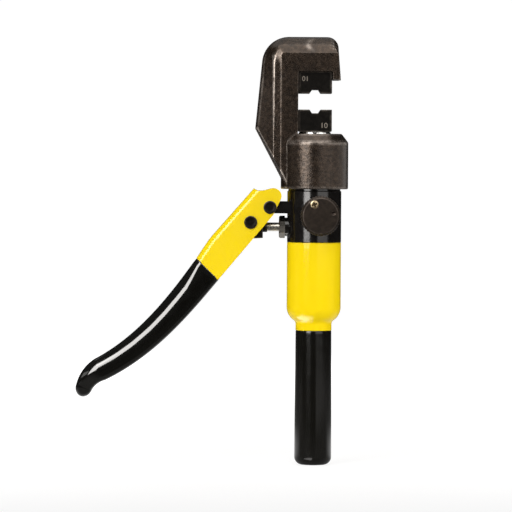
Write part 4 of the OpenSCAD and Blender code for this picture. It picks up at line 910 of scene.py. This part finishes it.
# %% Plunger yoke
ROD_Z, YOKE_HALF = 128, 8.2
yoke_line = rounded([
    (-52.185, 118.95, 0.4), (-38.585, 119.7, 0.4), (-38.585, 134.8, 0.4), (-40.585, 136.8, 0.4),
    (-52.185, 136.8, 0.4), (-54.185, 134.8, 0.4), (-54.185, 120.9, 0.4)], 4, True)
slot_line = rounded([(-51.185, 121.9, 3.39), (-44.385, 121.9, 3.39), (-44.385, 134.8, 3.39),
                     (-51.185, 134.8, 3.39)], 12, True)
collar_line = rounded([(0, -39, 0), (4, -39, 0), (4, -35.3, 0.5), (0, -35.3, 0)], 5)
rod_line = [(0, -43.9), (3.27, -43.9), (3.27, -34), (0, -34)]
plate, collar, slot, rod_bore = (mesh_from("yoke_part", *made) for made in (
    block(divided(yoke_line, 1.0, True), (-46.4, ROD_Z), -YOKE_HALF, YOKE_HALF, 0.4),
    turned(collar_line, 56, "x", (0, 0, ROD_Z)),
    block(slot_line, (DRIVE_X, 128.3), -9, 9, 0.05),
    turned(rod_line, 48, "x", (0, 0, ROD_Z))))
yoke_mesh = combined("plunger_yoke_milled", plate, ("UNION", collar), ("DIFFERENCE", slot),
                     ("DIFFERENCE", rod_bore))
add_piece("plunger_yoke_milled", mark_wear_and_light(yoke_mesh, 0.6, 2.6), "plunger", black_oxide,
          ["plunger_yoke"])

# %% [markdown]
# Inside the head a coil spring pushes the ram back. A curve with a bevel could draw it, but a formula gives
# the mesh at once: a circle of wire carried along a helix. It is pressed shorter when the ram rises.

# %% Ram spring
def coil(mean_r, wire_r, low, high, turns, steps, sides):
    """Wire of radius wire_r round the helix (R cos a, R sin a, z): a wire point lies cos b outwards and
    sin b along the direction square to the helix and to the radius."""
    a = np.linspace(0, 2 * np.pi * turns, steps)[:, None]
    b = np.arange(sides) * 2 * np.pi / sides
    lead = (high - low - 2 * wire_r) / (2 * np.pi * turns)
    slope = math.atan2(lead, mean_r)
    side, up = wire_r * np.cos(b), wire_r * np.sin(b)
    x = (mean_r + side) * np.cos(a) + up * math.sin(slope) * np.sin(a)
    y = (mean_r + side) * np.sin(a) - up * math.sin(slope) * np.cos(a)
    z = low + wire_r + lead * a + up * math.cos(slope)
    return np.stack([x, y, z], -1)

spring = coil(mean_r=14, wire_r=1.1, low=163, high=188, turns=4, steps=260, sides=14)
spring_piece = add_piece("ram_spring_wound", tube_from("ram_spring_wound", spring), "head", spring_steel,
                         ["ram_spring"])
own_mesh(spring_piece)

# %% [markdown]
# The other solids have the right shapes already: the pump body and its lug, the nut, the bright plunger and
# ram, and everything inside. Replacing them would gain nothing, so they stay and only take a finish, by
# name. The ones inside are finished too, because the tool can be taken apart.

# %% Finishes for the solids that stay
KEPT = {
    gloss_black: ["pump_body", "fulcrum_lug"],
    ram_steel: ["ram"],
    rod_steel: ["plunger_rod"],
    nut_steel: ["gland_nut", "grip_tube", "inlet_ball", "outlet_ball", "relief_ball", "relief_screw",
                "release_ball", "upper_detent_ball", "lower_detent_ball", "pin_clips", "release_spindle"],
    spring_steel: ["inlet_spring", "outlet_spring", "relief_spring", "upper_detent_spring",
                   "lower_detent_spring"],
    brass: ["inlet_seat", "outlet_plug"],
    seal_rubber: ["oil_bladder", "tube_plug", "plunger_packing", "ram_seal", "spindle_seal"],
}
for finish, names in KEPT.items():
    for name in names:
        nodes[name].data.materials.clear()
        nodes[name].data.materials.append(finish)
print("solids that keep their shape:", sum(len(names) for names in KEPT.values()))

# %% [markdown]
# The tool stands on a white sweep, a floor that curves up into a wall, as in a catalogue studio. A white
# world would do, but then every black part would mirror white from all sides. The sweep is white by its own
# colour and a little light of its own for the camera and for mirrors, so that it keeps a soft shadow.

# %% White paper
def paper(name, front_grey, near_grey, near_glow, far_glow):
    """White paper: a matt grey plus a glow for the camera, and round the tool's foot, behind it, for
    mirrors and clear things too. The camera's glow is weaker at the foot, where the lamps light the paper
    and the shadow falls. In front the matt grey is dark, as a studio floor is there, so that black gloss
    stays black."""
    finish = bpy.data.materials.new(name)
    finish.use_nodes = True
    finish.node_tree.nodes.clear()
    place = node(finish, "TexCoord").outputs["Object"]
    depth = node(finish, "SeparateXYZ", Vector=place).outputs["Y"]
    away = node(finish, "VectorMath", Vector=place)
    away.operation = "LENGTH"
    away = away.outputs["Value"]
    path = node(finish, "LightPath").outputs
    mirrored = maths(finish, "MAXIMUM", path["Is Glossy Ray"], path["Is Transmission Ray"])
    mirrored = maths(finish, "MULTIPLY", mirrored, ramp(finish, depth, -0.02, 0.06, 0, 1))
    mirrored = maths(finish, "MULTIPLY", mirrored, ramp(finish, away, 0.25, 0.5, 1, 0))
    seen = maths(finish, "MAXIMUM", path["Is Camera Ray"], mirrored)
    glow = ramp(finish, away, 0.2, 1.2, near_glow, far_glow)
    light = node(finish, "Emission", Color=(1, 1, 1), Strength=maths(finish, "MULTIPLY", seen, glow))
    matt = node(finish, "BsdfDiffuse", Color=ramp(finish, depth, -0.45, -0.12, front_grey, near_grey))
    total = node(finish, "AddShader")
    plug(finish, total.inputs[0], matt.outputs[0])
    plug(finish, total.inputs[1], light.outputs[0])
    node(finish, "OutputMaterial", Surface=total.outputs[0])
    return finish

white_paper = paper("white_paper", 0.03, 0.2, 0.85, 1.0)
print("paper:", white_paper.name)

# %% White floor and sweep
FLOOR_Z = cad_low.z / MM
SWEEP_HALF, SWEEP_BACK, SWEEP_TOP, SWEEP_ROUND = 8000, 7000, 5000, 1500
sweep_line = rounded([(-SWEEP_HALF, FLOOR_Z, 0), (SWEEP_BACK, FLOOR_Z, SWEEP_ROUND),
                      (SWEEP_BACK, SWEEP_TOP, 0)], 24)
sweep_x = np.linspace(-SWEEP_HALF, SWEEP_HALF, 3)
sweep = np.stack(np.broadcast_arrays(sweep_x, sweep_line[:, :1], sweep_line[:, 1:]), -1)
sweep_mesh = mesh_from("white_sweep", sweep, grid_faces(*sweep.shape[:2], False, False))
white_sweep = bpy.data.objects.new("white_sweep", sweep_mesh)
scene.collection.objects.link(white_sweep)
sweep_mesh.shade_smooth()
sweep_mesh.materials.append(white_paper)
print("floor at", round(FLOOR_Z, 2), "mm")

# %% [markdown]
# One large soft light stands at the left of the camera and a wide dim panel at the right. Lamps could be
# guessed by eye, but gloss tells where they are: a spot that shines faces halfway between the camera and
# the lamp. The streaks on the pump and the lever give a softbox from 19 to 45 degrees left that ends just
# below the horizon, because the tank and the grip, which the camera sees from above, don't mirror it. Its
# bright face would overexpose the yellow paint, so one lamp makes its gloss and a weaker twin its light on
# matt surfaces. Dim fills at the sides, above and behind show the tool from all round. A few lamps give one
# piece its glint or soft sheen and light no other, which Blender calls light linking. The lowest ones lie
# just above the floor and face up.

# %% A softbox
TOOL_MIDDLE, WARM_WHITE = (-0.04, 0, 0.11), (1.0, 0.975, 0.95)


def softbox(name, left, up, distance, wide, tall, glow, seen_by, aim=TOOL_MIDDLE, only=None):
    """Area lamp that faces the aim, from angles left of the front and up in degrees. A mirror shows its
    face glow times as bright as white, so its power is pi times glow times its area. It is seen by gloss
    or by matt surfaces, and one that is only for some piece lights no other."""
    lamp = bpy.data.lights.new(name, "AREA")
    lamp.shape, lamp.size, lamp.size_y = "RECTANGLE", wide, tall
    lamp.energy, lamp.color = math.pi * glow * wide * tall, WARM_WHITE
    box = bpy.data.objects.new(name, lamp)
    scene.collection.objects.link(box)
    left, up = math.radians(left), math.radians(up)
    way = Vector((-math.sin(left) * math.cos(up), -math.cos(left) * math.cos(up), math.sin(up)))
    box.location = Vector(aim) + way * distance
    box.rotation_mode = "QUATERNION"
    box.rotation_quaternion = way.to_track_quat("Z", "Y")
    box.visible_camera = False
    box.visible_diffuse = seen_by == "matt"
    box.visible_glossy = seen_by == "gloss"
    if only:
        lit = bpy.data.collections.new(name + "_lights")
        lit.objects.link(only)
        box.light_linking.receiver_collection = lit

print("lamps face", TOOL_MIDDLE, "unless told otherwise")

# %% Lamps
pieces = bpy.data.objects
# name, degrees left and up, distance, width and height in metres, glow, seen by, own aim, only piece
for lamp_row in [
        ("key_gloss", 32, 21, 1.3, 0.63, 1.047, 11.5, "gloss"),
        ("key_matt", 32, 21, 1.3, 0.63, 1.047, 6.2, "matt"),
        ("front_fill", -8, 14, 2.0, 1.5, 1.5, 1.65, "matt"),
        ("right_fill", -80, 4, 1.2, 0.8, 0.7, 5.0, "matt"),
        ("left_fill", 84, -2, 1.2, 0.8, 0.5, 5.4, "matt"),
        ("back_fill", 180, 18, 1.6, 1.6, 0.9, 4.0, "matt"),
        ("back_gloss", 180, 60, 1.3, 1.6, 0.9, 0.75, "gloss"),
        ("right_panel", -36, 19, 1.5, 1.3, 1.15, 2.0, "gloss"),
        ("floor_panel", -16, -89.9, 0.0499, 1.2, 1.6, 0.5, "gloss", (0.81, -0.65, 0)),
        ("top_gloss", 0, 66, 1.2, 1.6, 1.6, 3.4, "gloss"),
        ("top_matt", 0, 60, 1.2, 0.9, 1.35, 1.4, "matt"),
        ("left_card", 76, 13, 1.3, 0.9, 0.3, 1.3, "gloss"),
        ("shoulder_spot", 100, -69, 0.08, 0.07, 0.075, 16, "gloss", (-0.006, -0.015, 0.058),
         pieces["oil_tank_painted"]),
        ("nut_spot", 0, -66, 0.185, 0.10, 0.08, 0.5, "gloss", (-0.024, -0.012, 0.12), nodes["gland_nut"]),
        ("skirt_panel", -95, 8, 1.2, 2.0, 0.8, 1.15, "gloss", TOOL_MIDDLE, pieces["crimp_head_forged"]),
        ("ram_left", 95, 0, 0.5, 0.9, 0.3, 1.6, "gloss", (0, 0, 0.2), nodes["ram"]),
        ("ram_right", -60, 0, 0.5, 0.5, 0.3, 1.6, "gloss", (0, 0, 0.2), nodes["ram"]),
        ("end_spot", 0, -90, 0.0495, 0.016, 0.022, 2.2, "gloss", (-0.010, -0.028, 0),
         pieces["fixed_grip_sleeve"]),
        ("table_matt", 0, -90, 0.049, 0.5, 0.4, 0.6, "matt", (-0.03, -0.08, 0))]:
    softbox(*lamp_row)

# %% [markdown]
# The room around the lamps is dim. A bright world would be simpler, but it would turn the black gloss grey,
# so only the camera, where it looks past the floor, sees white, as on a catalogue page.

# %% Room light
ROOM_LIGHT = 0.05
room = bpy.data.worlds.new("dim_room")
room.use_nodes = True
view = room.node_tree.nodes["Background"].inputs
seen = node(room, "LightPath").outputs["Is Camera Ray"]
plug(room, view["Color"], (1, 1, 1))
plug(room, view["Strength"], ramp(room, seen, 0, 1, ROOM_LIGHT, 1.0))
scene.world = room
print("room light", ROOM_LIGHT, "and white for the camera")

# %% [markdown]
# The camera faces the tool's front, from a little above its middle. An orthographic camera would keep all
# the verticals parallel, but a photograph has a little perspective, so this is a long lens from far away.
# The photograph leans by a third of a degree, and so does the camera.

# %% Camera
camera_data = bpy.data.cameras.new("catalogue_camera")
camera_data.lens, camera_data.sensor_width, camera_data.clip_end = 281.1, 36, 60
camera = bpy.data.objects.new("catalogue_camera", camera_data)
scene.collection.objects.link(camera)
stand, aim = Vector((-0.0854, -3.0, 0.18)), Vector((-0.0435, 0, 0.106))
camera.rotation_mode = "QUATERNION"
camera.location = stand
lean = Quaternion((0, 0, 1), math.radians(0.35))
camera.rotation_quaternion = (aim - stand).to_track_quat("-Z", "Y") @ lean
scene.camera = camera
scene.view_settings.view_transform = "Standard"
print("camera", round((aim - stand).length, 3), "m away")
